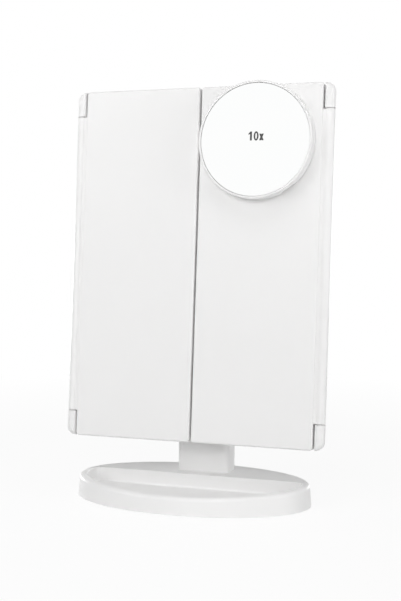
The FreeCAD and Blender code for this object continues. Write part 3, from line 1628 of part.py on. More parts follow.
def check_and_write():
    """Place the leaning sub-parts, stop on anything that failed, and write one file for each."""
    pose = head_pose()
    for node, item, in_head in pieces:
        if in_head:
            item.Placement = pose
    doc.recompute()
    for item in doc.Objects:
        bad = [state for state in item.State if state in ("Invalid", "Error")]
        if bad:
            raise RuntimeError(f"{item.Name} failed: {item.State}")
    for node, item, in_head in pieces:
        shape = item.Shape
        if shape.isNull() or not shape.isValid() or not shape.Solids:
            raise RuntimeError(f"{node} has no valid solid")
    os.makedirs("parts", exist_ok=True)
    for node, item, in_head in pieces:
        item.Shape.exportStep(f"parts/{node}.step")


gauge = make_sheet()
make_base_tray()
make_base_underside()
make_neck()
make_front_frame()
make_carrier()
make_lights_and_mirror()
make_control_board()
make_rear_cover()
make_battery_parts()
make_tilt_hinge()
make_wing_hinges()
make_leads()
make_wing(-1, "left_wing")
make_wing(1, "right_wing")
make_spot_mirror()
check_and_write()
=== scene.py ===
"""A closed trifold makeup mirror on its tray base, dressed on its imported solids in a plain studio.

All lengths are in metres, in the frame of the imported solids. Places on the head, the wings and the
spot mirror are written upright in the head's own frame: across, depth behind the front of the closed
wings, and rise from their bottom edge. HEAD_POSE leans them back into place.
"""
import json
import math

import bmesh
import bpy
from mathutils import Euler, Matrix, Vector


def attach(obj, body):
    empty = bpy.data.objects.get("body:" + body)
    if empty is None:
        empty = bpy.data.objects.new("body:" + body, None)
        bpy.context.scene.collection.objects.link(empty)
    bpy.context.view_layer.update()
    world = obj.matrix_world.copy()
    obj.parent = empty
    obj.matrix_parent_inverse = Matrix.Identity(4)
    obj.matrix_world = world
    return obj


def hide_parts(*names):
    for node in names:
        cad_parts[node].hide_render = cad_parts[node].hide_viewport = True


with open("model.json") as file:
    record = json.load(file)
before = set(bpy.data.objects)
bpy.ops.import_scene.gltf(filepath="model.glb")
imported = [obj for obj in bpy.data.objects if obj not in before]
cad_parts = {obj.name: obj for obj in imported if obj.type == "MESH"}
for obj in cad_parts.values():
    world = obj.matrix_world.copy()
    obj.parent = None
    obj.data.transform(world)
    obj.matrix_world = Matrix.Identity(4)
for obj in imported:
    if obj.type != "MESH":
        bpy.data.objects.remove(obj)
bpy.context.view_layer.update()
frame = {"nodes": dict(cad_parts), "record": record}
nodes = frame["nodes"]
scene = bpy.context.scene

MM = 0.001
LEAN = math.radians(5.0)
TILT_AXIS = Vector((0.0, 28.0, 58.0)) * MM
TILT_IN_HEAD = Vector((0.0, 32.4, 22.0)) * MM
HEAD_POSE = (
    Matrix.Translation(TILT_AXIS) @ Matrix.Rotation(-LEAN, 4, "X") @ Matrix.Translation(-TILT_IN_HEAD)
)

# Light chips behind the diffuser, in the head's frame
CHIP_SIDE_COUNT = 8
CHIP_SIDE_REACH = 76.3 * MM
CHIP_SIDE_PITCH = 25.575 * MM
CHIP_FIRST_RISE = 35.9875 * MM
CHIP_TOP_COUNT = 5
CHIP_TOP_RISE = 224.3 * MM
CHIP_TOP_PITCH = 29.12 * MM
CHIP_FACE = 9.5 * MM
CHIP_HALO = 6.0 * MM

# Nodes


class Varying:
    """A value that changes over a surface: one output socket, with maths that adds nodes."""

    def __init__(self, maker, socket):
        self.maker = maker
        self.socket = socket

    def maths(self, operation, first, second):
        return self.maker.node("ShaderNodeMath", {"operation": operation}, {0: first, 1: second})

    def __add__(self, other):
        return self.maths("ADD", self, other)

    def __radd__(self, other):
        return self.maths("ADD", other, self)

    def __sub__(self, other):
        return self.maths("SUBTRACT", self, other)

    def __rsub__(self, other):
        return self.maths("SUBTRACT", other, self)

    def __mul__(self, other):
        return self.maths("MULTIPLY", self, other)

    def __rmul__(self, other):
        return self.maths("MULTIPLY", other, self)

    def __gt__(self, other):
        return self.maths("GREATER_THAN", self, other)

    def __lt__(self, other):
        return self.maths("LESS_THAN", self, other)


class NodeMaker:
    """Adds nodes to one tree: a finish's, the floor's, the world's or a row's."""

    def __init__(self, tree):
        self.tree = tree

    def node(self, kind, settings=None, sockets=None, output=0):
        """Add a node, set it up, feed its sockets, and give one of its outputs if it has any."""
        made = self.tree.nodes.new(kind)
        for name, setting in (settings or {}).items():
            setattr(made, name, setting)
        for name, fed in (sockets or {}).items():
            self.feed(made.inputs[name], fed)
        return Varying(self, made.outputs[output]) if made.outputs else None

    def feed(self, socket, fed):
        if isinstance(fed, Varying):
            self.tree.links.new(fed.socket, socket)
        else:
            socket.default_value = fed

    def place(self):
        """Where a point is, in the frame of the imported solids."""
        return self.node("ShaderNodeTexCoord", output="Object")

    def length(self, vector):
        return self.node("ShaderNodeVectorMath", {"operation": "LENGTH"}, {0: vector}, "Value")

    def between(self, value, low, high, to_low, to_high):
        """A value moved from one range to another, and held at its ends."""
        ends = {"Value": value, "From Min": low, "From Max": high, "To Min": to_low, "To Max": to_high}
        return self.node("ShaderNodeMapRange", {"clamp": True}, ends)


# Noise: its detail, the scale for a place already stretched, and the shares it mostly lies between
PLAIN_DETAIL = 1.0
SOFT_DETAIL = 2.0
FINE_DETAIL = 3.0
FINEST_DETAIL = 4.0
STRETCHED_SCALE = 1.0
NOISE_SHARES = (0.3, 0.7)


class Finish(NodeMaker):
    """A material: one Principled shader with its fixed settings, and the nodes that vary it."""

    def __init__(self, name, **fixed):
        self.material = bpy.data.materials.new(name)
        self.material.use_nodes = True
        super().__init__(self.material.node_tree)
        self.shader = self.tree.nodes["Principled BSDF"]
        self.vary(**fixed)

    def vary(self, **fed):
        """Set or feed the shader's own sockets."""
        for name, setting in fed.items():
            self.feed(self.shader.inputs[name.replace("_", " ")], setting)
        return self

    def in_head(self):
        """Where a point is in the head's own upright frame."""
        turn = Euler((LEAN, 0.0, 0.0))
        shift = -(turn.to_matrix() @ HEAD_POSE.translation)
        moved = {"Vector": self.place(), "Rotation": turn, "Location": shift}
        return self.node("ShaderNodeMapping", {}, moved)

    def stretched(self, scale):
        return self.node("ShaderNodeMapping", {}, {"Vector": self.place(), "Scale": scale})

    def axis(self, place, letter):
        return self.node("ShaderNodeSeparateXYZ", {}, {"Vector": place}, letter)

    def flat_place(self, across, along):
        return self.node("ShaderNodeCombineXYZ", {}, {"X": across, "Y": along})

    def cloud(self, place, scale, detail):
        """Soft noise from 0 to 1, with about so many features in a metre."""
        return self.node("ShaderNodeTexNoise", {}, {"Vector": place, "Scale": scale, "Detail": detail})

    def cells(self, place, scale):
        return self.node("ShaderNodeTexVoronoi", {}, {"Vector": place, "Scale": scale})

    def folded(self, value, start, half):
        """How far a value is from start, counted there and back again over each half length."""
        return value.maths("PINGPONG", value - start, half)

    def spread(self, noise, low, high):
        """Noise moved from the range that it mostly has to another."""
        return self.between(noise, *NOISE_SHARES, low, high)

    def halo(self, reach, radius):
        """1 at a place, falling to 0 at a radius from it."""
        return self.between(reach, 0.0, radius, 1.0, 0.0)

    def mixed(self, share, first, second):
        """Two colours mixed; the node's sockets for colours follow those for numbers and vectors."""
        return self.node("ShaderNodeMix", {"data_type": "RGBA"}, {0: share, 6: first, 7: second}, 2)

    def bump(self, height, distance, strength):
        sockets = {"Height": height, "Distance": distance, "Strength": strength}
        return self.node("ShaderNodeBump", {}, sockets)


# Finishes


def grey(level, warmth=0.0):
    """A near-neutral colour, a little warm where warmth is above 0."""
    return (level, level - warmth / 2, level - warmth, 1.0)


PLASTIC_IOR = 1.5
FLOW_SCALE = 16.0
FLOW_FADE = 0.012
FLOW_HEIGHT_SHARE = 6.0
PATCH_SCALE = 90.0
PATCH_SHARE = 0.7
GRAIN_SCALE = 2600.0
GRAIN_SHARE = 0.3
GRAIN_RELIEF = 0.02 * MM
GRAIN_RELIEF_SHARE = 0.12
SHELL_WARMTH = 0.006


def moulded(name, level, gloss, warmth=SHELL_WARMTH):
    """White plastic from a mould: faint flow clouds, a fine spark-eroded grain, uneven gloss."""
    finish = Finish(name, IOR=PLASTIC_IOR)
    place = finish.place()
    flow = finish.cloud(place, FLOW_SCALE, FINE_DETAIL)
    patch = finish.cloud(place, PATCH_SCALE, SOFT_DETAIL)
    grain = finish.cloud(place, GRAIN_SCALE, PLAIN_DETAIL)
    streak = finish.spread(flow, 0.0, 1.0)
    tone = finish.mixed(streak, grey(level - FLOW_FADE, warmth), grey(level, warmth))
    rough = finish.spread(patch * PATCH_SHARE + grain * GRAIN_SHARE, *gloss)
    relief = finish.bump(grain + flow * FLOW_HEIGHT_SHARE, GRAIN_RELIEF, GRAIN_RELIEF_SHARE)
    return finish.vary(Base_Color=tone, Roughness=rough, Normal=relief).material


GLASS_IOR = 1.5
FILM_STRETCH = (18.0, 18.0, 70.0)
FILM_FADE = 0.012
FILM_SHARE = 0.8
DUST_SCALE = 900.0
DUST_SHARE = 0.2
FILM_AND_DUST_SHARES = (0.35, 0.75)
MIRROR_GLOSS = (0.006, 0.03)


def silvered(name, level):
    """Mirror glass: silver behind clear glass, with the faintest wiped film."""
    finish = Finish(name, Metallic=1.0, IOR=GLASS_IOR)
    film = finish.cloud(finish.stretched(FILM_STRETCH), STRETCHED_SCALE, FINEST_DETAIL)
    dust = finish.cloud(finish.place(), DUST_SCALE, PLAIN_DETAIL)
    filmed = (level - FILM_FADE, level, level - FILM_FADE / 2, 1.0)
    tone = finish.mixed(film, filmed, grey(level))
    rough = finish.between(film * FILM_SHARE + dust * DUST_SHARE, *FILM_AND_DUST_SHARES, *MIRROR_GLOSS)
    return finish.vary(Base_Color=tone, Roughness=rough).material


OPAL_IOR = 1.49
MILK_SCALE = 45.0
MILK_TONES = (grey(0.9, 0.03), grey(0.94, 0.012))
CHIP_GLOW_TONE = (0.9, 0.83, 0.62, 1.0)
FROST_SCALE = 5200.0
FROST_GLOSS = (0.42, 0.58)
FROST_RELIEF = 0.02 * MM
FROST_RELIEF_SHARE = 0.2


def opal(name):
    """Milky light diffuser: frosted, with the chips behind it showing as faint warm spots."""
    finish = Finish(name, IOR=OPAL_IOR)
    place = finish.place()
    depth = finish.cloud(place, MILK_SCALE, FINE_DETAIL)
    frost = finish.cloud(place, FROST_SCALE, PLAIN_DETAIL)
    in_head = finish.in_head()
    across = finish.axis(in_head, "X")
    rise = finish.axis(in_head, "Z")
    beside = finish.flat_place(
        finish.folded(across, 0.0, CHIP_SIDE_REACH) - CHIP_SIDE_REACH,
        finish.folded(rise, CHIP_FIRST_RISE, CHIP_SIDE_PITCH / 2),
    )
    above = finish.flat_place(finish.folded(across, 0.0, CHIP_TOP_PITCH / 2), rise - CHIP_TOP_RISE)
    side_spots = finish.halo(finish.length(beside), CHIP_HALO)
    top_spots = finish.halo(finish.length(above), CHIP_HALO)
    tone = finish.mixed(side_spots + top_spots, finish.mixed(depth, *MILK_TONES), CHIP_GLOW_TONE)
    rough = finish.spread(frost, *FROST_GLOSS)
    relief = finish.bump(frost, FROST_RELIEF, FROST_RELIEF_SHARE)
    return finish.vary(Base_Color=tone, Roughness=rough, Normal=relief).material


RUBBER_IOR = 1.45
RUBBER_GLOSS = (0.62, 0.82)
BLOOM_SCALE = 120.0
BLOOM_FADE = 0.05
BLOOM_LIFT = 0.04
PIT_SCALE = 1500.0
PIT_RELIEF = 0.04 * MM
PIT_RELIEF_SHARE = 0.35


def rubbery(name, level):
    """Soft foot rubber: matt, finely pitted."""
    finish = Finish(name, IOR=RUBBER_IOR)
    place = finish.place()
    pits = finish.cells(place, PIT_SCALE)
    bloom = finish.cloud(place, BLOOM_SCALE, FINEST_DETAIL)
    tone = finish.mixed(bloom, grey(level - BLOOM_FADE), grey(level + BLOOM_LIFT))
    rough = finish.spread(bloom, *RUBBER_GLOSS)
    relief = finish.bump(pits, PIT_RELIEF, PIT_RELIEF_SHARE)
    return finish.vary(Base_Color=tone, Roughness=rough, Normal=relief).material


LINE_FADE = 0.06
LINE_LIFT = 0.03
LINE_SHARE = 0.6
LINE_RELIEF = 0.01 * MM
LINE_RELIEF_SHARE = 0.15
HAZE_SCALE = 140.0
HAZE_SHARE = 0.4


def drawn_steel(name, level, stretch, gloss):
    """Plain steel with fine lines left by drawing, turning or rolling."""
    finish = Finish(name, Metallic=1.0)
    lines = finish.cloud(finish.stretched(stretch), STRETCHED_SCALE, SOFT_DETAIL)
    haze = finish.cloud(finish.place(), HAZE_SCALE, FINE_DETAIL)
    tone = finish.mixed(lines, grey(level - LINE_FADE), grey(level + LINE_LIFT))
    rough = finish.spread(lines * LINE_SHARE + haze * HAZE_SHARE, *gloss)
    relief = finish.bump(lines, LINE_RELIEF, LINE_RELIEF_SHARE)
    return finish.vary(Base_Color=tone, Roughness=rough, Normal=relief).material


# Foam tones: painted shade in the bubble hollows, then the lighter walls between bubbles
FOAM_PIT_SHADE_TONES = (grey(0.09), grey(0.26))
FOAM_GLOSS = (0.95, 0.8)
BUBBLE_SCALE = 1400.0
BUBBLE_SHARES = (0.0, 0.6)
BUBBLE_RELIEF = 0.25 * MM
BUBBLE_RELIEF_SHARE = 0.7


def foamed(name):
    """Dark closed-cell foam with small bubbles: painted shade darkens each bubble's hollow, and the
    walls between them are lighter.
    """
    finish = Finish(name)
    bubbles = finish.cells(finish.place(), BUBBLE_SCALE)
    # Painted shade: each bubble is darkest in its hollow and lighter towards the walls around it
    tone = finish.mixed(finish.between(bubbles, *BUBBLE_SHARES, 0.0, 1.0), *FOAM_PIT_SHADE_TONES)
    rough = finish.between(bubbles, *BUBBLE_SHARES, *FOAM_GLOSS)
    relief = finish.bump(bubbles, BUBBLE_RELIEF, BUBBLE_RELIEF_SHARE)
    return finish.vary(Base_Color=tone, Roughness=rough, Normal=relief).material


COPPER = (0.86, 0.55, 0.32, 1.0)
TRACK_OFFSET_SHARE = 0.5
TRACK_LENGTH_SHARE = 3.0
TRACK_GAP_SHARE = 0.14
TRACK_SOFT_SHARE = 0.1
TRACK_TONE_SHARE = 0.78
TRACK_ROUGHER = 0.08
BOARD_PAD_SCALE_SHARE = 0.6
BOARD_PAD_SHARE = 0.16
BOARD_PAD_SMOOTHER = 0.1
BOARD_ROUGH = 0.34
BOARD_RELIEF = 0.06 * MM
BOARD_RELIEF_SHARE = 0.4


def circuit(name, mask, pitch):
    """A printed board: solder mask over copper tracks, with bare pads scattered at a pitch."""
    finish = Finish(name, IOR=PLASTIC_IOR)
    place = finish.in_head()
    track_sockets = {
        "Vector": finish.flat_place(finish.axis(place, "X"), finish.axis(place, "Z")),
        "Scale": STRETCHED_SCALE,
        "Brick Width": TRACK_LENGTH_SHARE * pitch,
        "Row Height": pitch,
        "Mortar Size": TRACK_GAP_SHARE * pitch,
        "Mortar Smooth": TRACK_SOFT_SHARE,
    }
    tracks = finish.node("ShaderNodeTexBrick", {"offset": TRACK_OFFSET_SHARE}, track_sockets, "Fac")
    pads = finish.cells(place, BOARD_PAD_SCALE_SHARE / pitch) < BOARD_PAD_SHARE
    track_tone = tuple(TRACK_TONE_SHARE * part for part in mask[:3]) + (1.0,)
    tone = finish.mixed(pads, finish.mixed(tracks, mask, track_tone), COPPER)
    rough = BOARD_ROUGH - pads * BOARD_PAD_SMOOTHER + tracks * TRACK_ROUGHER
    relief = finish.bump(tracks + pads, BOARD_RELIEF, BOARD_RELIEF_SHARE)
    return finish.vary(Base_Color=tone, Roughness=rough, Metallic=pads, Normal=relief).material


SLEEVE_LOW = 75.5 * MM
SLEEVE_HIGH = 114.0 * MM
STRIPE_SHARE = 0.2
SLEEVE_TONES = ((0.10, 0.12, 0.16, 1.0), (0.42, 0.44, 0.47, 1.0))
CELL_END_TONES = (grey(0.6), grey(0.72))
CELL_SCUFF_SCALE = 400.0
CELL_GLOSS = (0.26, 0.4)


def sleeved(name):
    """Battery cells: a printed sleeve between two bare ends."""
    finish = Finish(name)
    place = finish.in_head()
    rise = finish.axis(place, "Z")
    sleeve = (rise > SLEEVE_LOW) * (rise < SLEEVE_HIGH)
    stripe = sleeve * (rise > SLEEVE_HIGH - (SLEEVE_HIGH - SLEEVE_LOW) * STRIPE_SHARE)
    scuff = finish.cloud(place, CELL_SCUFF_SCALE, FINE_DETAIL)
    ends = finish.mixed(scuff, *CELL_END_TONES)
    tone = finish.mixed(sleeve, ends, finish.mixed(stripe, *SLEEVE_TONES))
    rough = finish.spread(scuff, *CELL_GLOSS)
    return finish.vary(Base_Color=tone, Roughness=rough, Metallic=1.0 - sleeve).material


LEAD_RED_TONES = ((0.42, 0.035, 0.03, 1.0), (0.52, 0.06, 0.05, 1.0))
LEAD_DARK_TONES = (grey(0.03), grey(0.055))
LEAD_SCUFF_SCALE = 700.0
LEAD_GLOSS = (0.32, 0.46)


def insulated(name):
    """Lead insulation: one lead dark and one red, told apart by the side that they run on."""
    finish = Finish(name, IOR=PLASTIC_IOR)
    place = finish.place()
    scuff = finish.cloud(place, LEAD_SCUFF_SCALE, FINE_DETAIL)
    right = finish.axis(place, "X") > 0.0
    red = finish.mixed(scuff, *LEAD_RED_TONES)
    dark = finish.mixed(scuff, *LEAD_DARK_TONES)
    rough = finish.spread(scuff, *LEAD_GLOSS)
    return finish.vary(Base_Color=finish.mixed(right, dark, red), Roughness=rough).material


def tinted(name, tones, gloss, scale, metallic=0.0):
    """A small coloured piece with fine clouding and uneven gloss."""
    finish = Finish(name, Metallic=metallic)
    clouds = finish.cloud(finish.place(), scale, FINE_DETAIL)
    rough = finish.spread(clouds, *gloss)
    return finish.vary(Base_Color=finish.mixed(clouds, *tones), Roughness=rough).material


LIGHT_BOARD_MASK = (0.86, 0.86, 0.83, 1.0)
LIGHT_BOARD_PITCH = 2.4 * MM
CONTROL_BOARD_MASK = (0.02, 0.16, 0.07, 1.0)
CONTROL_BOARD_PITCH = 1.6 * MM
PHOSPHOR_TONES = ((0.85, 0.62, 0.12, 1.0), (0.95, 0.74, 0.22, 1.0))
GILT_TONES = ((0.75, 0.52, 0.2, 1.0), (0.9, 0.66, 0.3, 1.0))

finishes = {
    "white_plastic": moulded("white_shell", level=0.9, gloss=(0.3, 0.42)),
    "white_inner": moulded("white_inner", level=0.86, gloss=(0.5, 0.62)),
    "bearing_plastic": moulded("bearing_white", level=0.8, gloss=(0.36, 0.5), warmth=0.02),
    "mirror_glass": silvered("mirror_silver", level=0.985),
    "opal_plastic": opal("opal_diffuser"),
    "foam": foamed("closed_cell_foam"),
    "foot_rubber": rubbery("foot_rubber", level=0.55),
    "screw_steel": drawn_steel(
        "screw_steel", level=0.62, stretch=(1500.0, 1500.0, 9000.0), gloss=(0.22, 0.36),
    ),
    "plate_steel": drawn_steel(
        "rolled_steel", level=0.5, stretch=(60.0, 3000.0, 3000.0), gloss=(0.32, 0.5),
    ),
    "shaft_steel": drawn_steel(
        "ground_steel", level=0.68, stretch=(6000.0, 300.0, 6000.0), gloss=(0.14, 0.26),
    ),
    "contact_steel": drawn_steel(
        "plated_steel", level=0.74, stretch=(2500.0, 2500.0, 200.0), gloss=(0.18, 0.3),
    ),
    "magnet_steel": drawn_steel(
        "plated_magnet", level=0.7, stretch=(900.0, 900.0, 900.0), gloss=(0.08, 0.18),
    ),
    "light_board": circuit("light_board", LIGHT_BOARD_MASK, LIGHT_BOARD_PITCH),
    "light_chip": tinted("chip_body", tones=(grey(0.8), grey(0.9)), gloss=(0.3, 0.45), scale=1800.0),
    "circuit_board": circuit("control_board", CONTROL_BOARD_MASK, CONTROL_BOARD_PITCH),
    "switch_plastic": tinted(
        "switch_black", tones=(grey(0.025), grey(0.05)), gloss=(0.38, 0.55), scale=1200.0,
    ),
    "cell_sleeve": sleeved("cell_sleeve"),
    "lead_plastic": insulated("lead_insulation"),
}
ink = tinted("printed_ink", tones=(grey(0.02), grey(0.045)), gloss=(0.4, 0.6), scale=2200.0)
phosphor = tinted("chip_phosphor", tones=PHOSPHOR_TONES, gloss=(0.25, 0.4), scale=3000.0)
gilt = tinted("gilt_contact", tones=GILT_TONES, gloss=(0.18, 0.3), scale=4000.0, metallic=1.0)

for part in frame["record"]["subparts"]:
    slots = nodes[part["node"]].data.materials
    slots.clear()
    slots.append(finishes[part["material_slot"]])

# Pieces
WELD_REACH = 0.001 * MM
EDGE_STEPS = 2
CORNER_POINTS = 7
QUARTER_TURN = math.pi / 2
HALF_TURN = math.pi
WHOLE_TURN = 2 * math.pi


def finished(name, mesh, material, body):
    """Link a mesh whose place is in its points, give it its finish, and let it ride on a body."""
    mesh.name = name
    mesh.materials.clear()
    mesh.materials.append(material)
    piece = bpy.data.objects.new(name, mesh)
    scene.collection.objects.link(piece)
    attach(piece, body)
    return piece


def plain_mesh(maker):
    """The mesh that a curve or a node tree gives, with the maker removed."""
    scene.collection.objects.link(maker)
    bpy.context.view_layer.update()
    evaluated = maker.evaluated_get(bpy.context.evaluated_depsgraph_get())
    mesh = bpy.data.meshes.new_from_object(evaluated)
    bpy.data.objects.remove(maker)
    return mesh


def weld(mesh):
    """Close the seams between a sheet's faces and its edge, and keep both crisp."""
    welded = bmesh.new()
    welded.from_mesh(mesh)
    bmesh.ops.remove_doubles(welded, verts=welded.verts, dist=WELD_REACH)
    bmesh.ops.recalc_face_normals(welded, faces=welded.faces)
    welded.to_mesh(mesh)
    welded.free()
    mesh.shade_flat()


def cut_sheet(outlines, thickness, edge):
    """A flat sheet with eased edges, its back at height 0; an outline inside another is a hole."""
    curve = bpy.data.curves.new("sheet_outline", "CURVE")
    curve.dimensions = "2D"
    curve.fill_mode = "BOTH"
    curve.extrude = thickness / 2 - edge
    curve.bevel_depth = edge
    curve.bevel_resolution = EDGE_STEPS
    curve.offset = -edge
    for outline in outlines:
        spline = curve.splines.new("POLY")
        spline.points.add(len(outline) - 1)
        for point, (across, rise) in zip(spline.points, outline):
            point.co = (across, rise, 0.0, 1.0)
        spline.use_cyclic_u = True
    mesh = plain_mesh(bpy.data.objects.new("sheet_maker", curve))
    mesh.transform(Matrix.Translation((0.0, 0.0, thickness / 2)))
    weld(mesh)
    return mesh


def ring_points(centre, radius, count, start=0.0, end=WHOLE_TURN):
    """Points along an arc, without the last one where it closes."""
    steps = count if end - start >= WHOLE_TURN else count - 1
    turns = [start + (end - start) * index / steps for index in range(count)]
    return [(centre[0] + radius * math.cos(turn), centre[1] + radius * math.sin(turn)) for turn in turns]


def rounded_rectangle(low, high, radius):
    """The outline of a rectangle with round corners."""
    corners = (
        (high[0] - radius, high[1] - radius), (low[0] + radius, high[1] - radius),
        (low[0] + radius, low[1] + radius), (high[0] - radius, low[1] + radius),
    )
    outline = []
    for quarter, corner in enumerate(corners):
        start = quarter * QUARTER_TURN
        outline += ring_points(corner, radius, CORNER_POINTS, start, start + QUARTER_TURN)
    return outline


def facing_front(depth):
    """Stand a flat sheet up in the head's frame, its face to the front and its back at a depth."""
    return HEAD_POSE @ Matrix.Translation((0.0, depth, 0.0)) @ Matrix.Rotation(QUARTER_TURN, 4, "X")


def facing_back(depth):
    """Stand a flat sheet up in the head's frame, its face to the back; across runs the other way."""
    turned = Matrix.Rotation(HALF_TURN, 4, "Z") @ Matrix.Rotation(QUARTER_TURN, 4, "X")
    return HEAD_POSE @ Matrix.Translation((0.0, depth, 0.0)) @ turned


def lay_in_bowl(mesh, centre, depth, radius):
    """Stand a flat sheet up in the head's frame, its back on a hollow round face."""
    for vertex in mesh.vertices:
        across, rise, proud = vertex.co
        reach = math.hypot(across - centre[0], rise - centre[1])
        bowl = depth - reach ** 2 / (2 * radius)
        vertex.co = HEAD_POSE @ Vector((across, bowl - proud, rise))


def box_in_head(node):
    """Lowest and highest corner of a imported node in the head's own frame."""
    inverse = HEAD_POSE.inverted()
    corners = [inverse @ vertex.co for vertex in nodes[node].data.vertices]
    low = Vector([min(corner[axis] for corner in corners) for axis in range(3)])
    high = Vector([max(corner[axis] for corner in corners) for axis in range(3)])
    return low, high


# Figure printed on the spot mirror, from plain strokes in millimetres right of and above its foot
SPOT_CENTRE = (40.54 * MM, 197.0 * MM)
BOWL_DEPTH = -7.1 * MM
BOWL_RADIUS = 732.5 * MM
FIGURE_FOOT = (36.0, 196.5)
INK_THICKNESS = 0.03 * MM
ONE = [(0.05, 3.6), (0.05, 4.5), (1.3, 5.8), (2.4, 5.8), (2.4, 0.0), (1.1, 0.0), (1.1, 4.2)]
ZERO_CENTRE = (5.2, 2.85)
ZERO_OUTSIDE = (1.65, 3.0)
ZERO_INSIDE = (0.55, 1.9)
ZERO_POINTS = 40
CROSS_CENTRE = (8.78, 2.1)
CROSS_HALF = (1.55, 2.15)
CROSS_STROKE = 1.35


def oval_outline(centre, half):
    circle = ring_points((0.0, 0.0), 1.0, ZERO_POINTS)
    return [(centre[0] + half[0] * x, centre[1] + half[1] * y) for x, y in circle]


def cross_outline(centre, half, stroke):
    """Two slanting strokes over each other, as one outline."""
    wide, tall = half
    notch = tall - 2 * tall * (wide - stroke) / (2 * wide - stroke)
    corners = [
        (-wide, -tall), (stroke - wide, -tall), (0.0, -notch), (wide - stroke, -tall), (wide, -tall),
        (stroke / 2, 0.0), (wide, tall), (wide - stroke, tall), (0.0, notch), (stroke - wide, tall),
        (-wide, tall), (-stroke / 2, 0.0),
    ]
    return [(centre[0] + x, centre[1] + y) for x, y in corners]


strokes = [
    ONE,
    oval_outline(ZERO_CENTRE, ZERO_OUTSIDE),
    oval_outline(ZERO_CENTRE, ZERO_INSIDE),
    cross_outline(CROSS_CENTRE, CROSS_HALF, CROSS_STROKE),
]
figure_outlines = [
    [((FIGURE_FOOT[0] + x) * MM, (FIGURE_FOOT[1] + y) * MM) for x, y in stroke] for stroke in strokes
]
figure = cut_sheet(figure_outlines, INK_THICKNESS, 0.0)
lay_in_bowl(figure, SPOT_CENTRE, BOWL_DEPTH, BOWL_RADIUS)
finished("figure_10x", figure, ink, "spot_mirror")

# Open ring and bar printed in the power button's dish
BUTTON_CENTRE = (0.0, 8.0 * MM)
DISH_DEPTH = 7.0 * MM
DISH_RADIUS = 17.78 * MM
MARK_RADIUS = 1.7 * MM
MARK_LINE = 0.4 * MM
MARK_THICKNESS = 2 * INK_THICKNESS
MARK_GAP = math.radians(38.0)
MARK_POINTS = 28
BAR_LOW_SHARE = 0.25
BAR_HIGH_SHARE = 1.25
BAR_CORNER_SHARE = 0.45
ring_start = QUARTER_TURN + MARK_GAP
ring_end = QUARTER_TURN - MARK_GAP + WHOLE_TURN
outer_arc = ring_points(BUTTON_CENTRE, MARK_RADIUS + MARK_LINE / 2, MARK_POINTS, ring_start, ring_end)
inner_arc = ring_points(BUTTON_CENTRE, MARK_RADIUS - MARK_LINE / 2, MARK_POINTS, ring_start, ring_end)
bar_low = (BUTTON_CENTRE[0] - MARK_LINE / 2, BUTTON_CENTRE[1] + MARK_RADIUS * BAR_LOW_SHARE)
bar_high = (BUTTON_CENTRE[0] + MARK_LINE / 2, BUTTON_CENTRE[1] + MARK_RADIUS * BAR_HIGH_SHARE)
bar = rounded_rectangle(bar_low, bar_high, MARK_LINE * BAR_CORNER_SHARE)
mark = cut_sheet([outer_arc + inner_arc[::-1], bar], MARK_THICKNESS, 0.0)
lay_in_bowl(mark, BUTTON_CENTRE, DISH_DEPTH, DISH_RADIUS)
finished("power_mark", mark, ink, "power_button")

# Arrow raised on the battery door, pointing the way that it slides
DOOR_FACE = 27.6 * MM
ARROW_RISE = 92.0 * MM
ARROW_WIDTH = 9.0 * MM
ARROW_HEIGHT = 7.0 * MM
ARROW_PROUD = 0.5 * MM
ARROW_EDGE = 0.1 * MM
arrow_foot = ARROW_RISE - ARROW_HEIGHT / 2
arrow_tip = ARROW_RISE + ARROW_HEIGHT / 2
arrow_outline = [(-ARROW_WIDTH / 2, arrow_foot), (ARROW_WIDTH / 2, arrow_foot), (0.0, arrow_tip)]
arrow = cut_sheet([arrow_outline], ARROW_PROUD, ARROW_EDGE)
arrow.transform(facing_back(DOOR_FACE))
finished("door_arrow", arrow, finishes["white_plastic"], "battery_door")

# Foam pads behind the mirrors
PAD_EDGE = 0.25 * MM
PAD_CORNER = 2.0 * MM
PAD_CLEAR = 0.05 * MM
PAD_RING_POINTS = 96
KEEPER_HOLE = 22.2 * MM
RING_WIDTH = 6.0 * MM


def foam_pad(node, body, outlines):
    """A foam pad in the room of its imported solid, a hair thinner."""
    low, high = box_in_head(node)
    pad = cut_sheet(outlines, high.y - low.y - 2 * PAD_CLEAR, PAD_EDGE)
    pad.transform(facing_front(high.y - PAD_CLEAR))
    piece = finished(f"{node}_foam", pad, finishes["foam"], body)
    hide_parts(node)


for pad_node, pad_body in (
    ("centre_mirror_pad", "head"), ("left_wing_pad", "left_wing"), ("right_wing_pad", "right_wing"),
):
    pad_low, pad_high = box_in_head(pad_node)
    pad_outlines = [rounded_rectangle((pad_low.x, pad_low.z), (pad_high.x, pad_high.z), PAD_CORNER)]
    if pad_body == "right_wing":
        pad_outlines.append(ring_points(SPOT_CENTRE, KEEPER_HOLE, PAD_RING_POINTS))
    foam_pad(pad_node, pad_body, pad_outlines)
ring_low, ring_high = box_in_head("spot_pad")
ring_reach = (ring_high.x - ring_low.x) / 2
ring_outlines = [
    ring_points(SPOT_CENTRE, radius, PAD_RING_POINTS) for radius in (ring_reach, ring_reach - RING_WIDTH)
]
foam_pad("spot_pad", "spot_mirror", ring_outlines)

# Rows of small pieces
ROW_INPUTS = {
    "Count": "NodeSocketInt",
    "Start": "NodeSocketVector",
    "Step": "NodeSocketVector",
    "Size": "NodeSocketVector",
    "Finish": "NodeSocketMaterial",
}


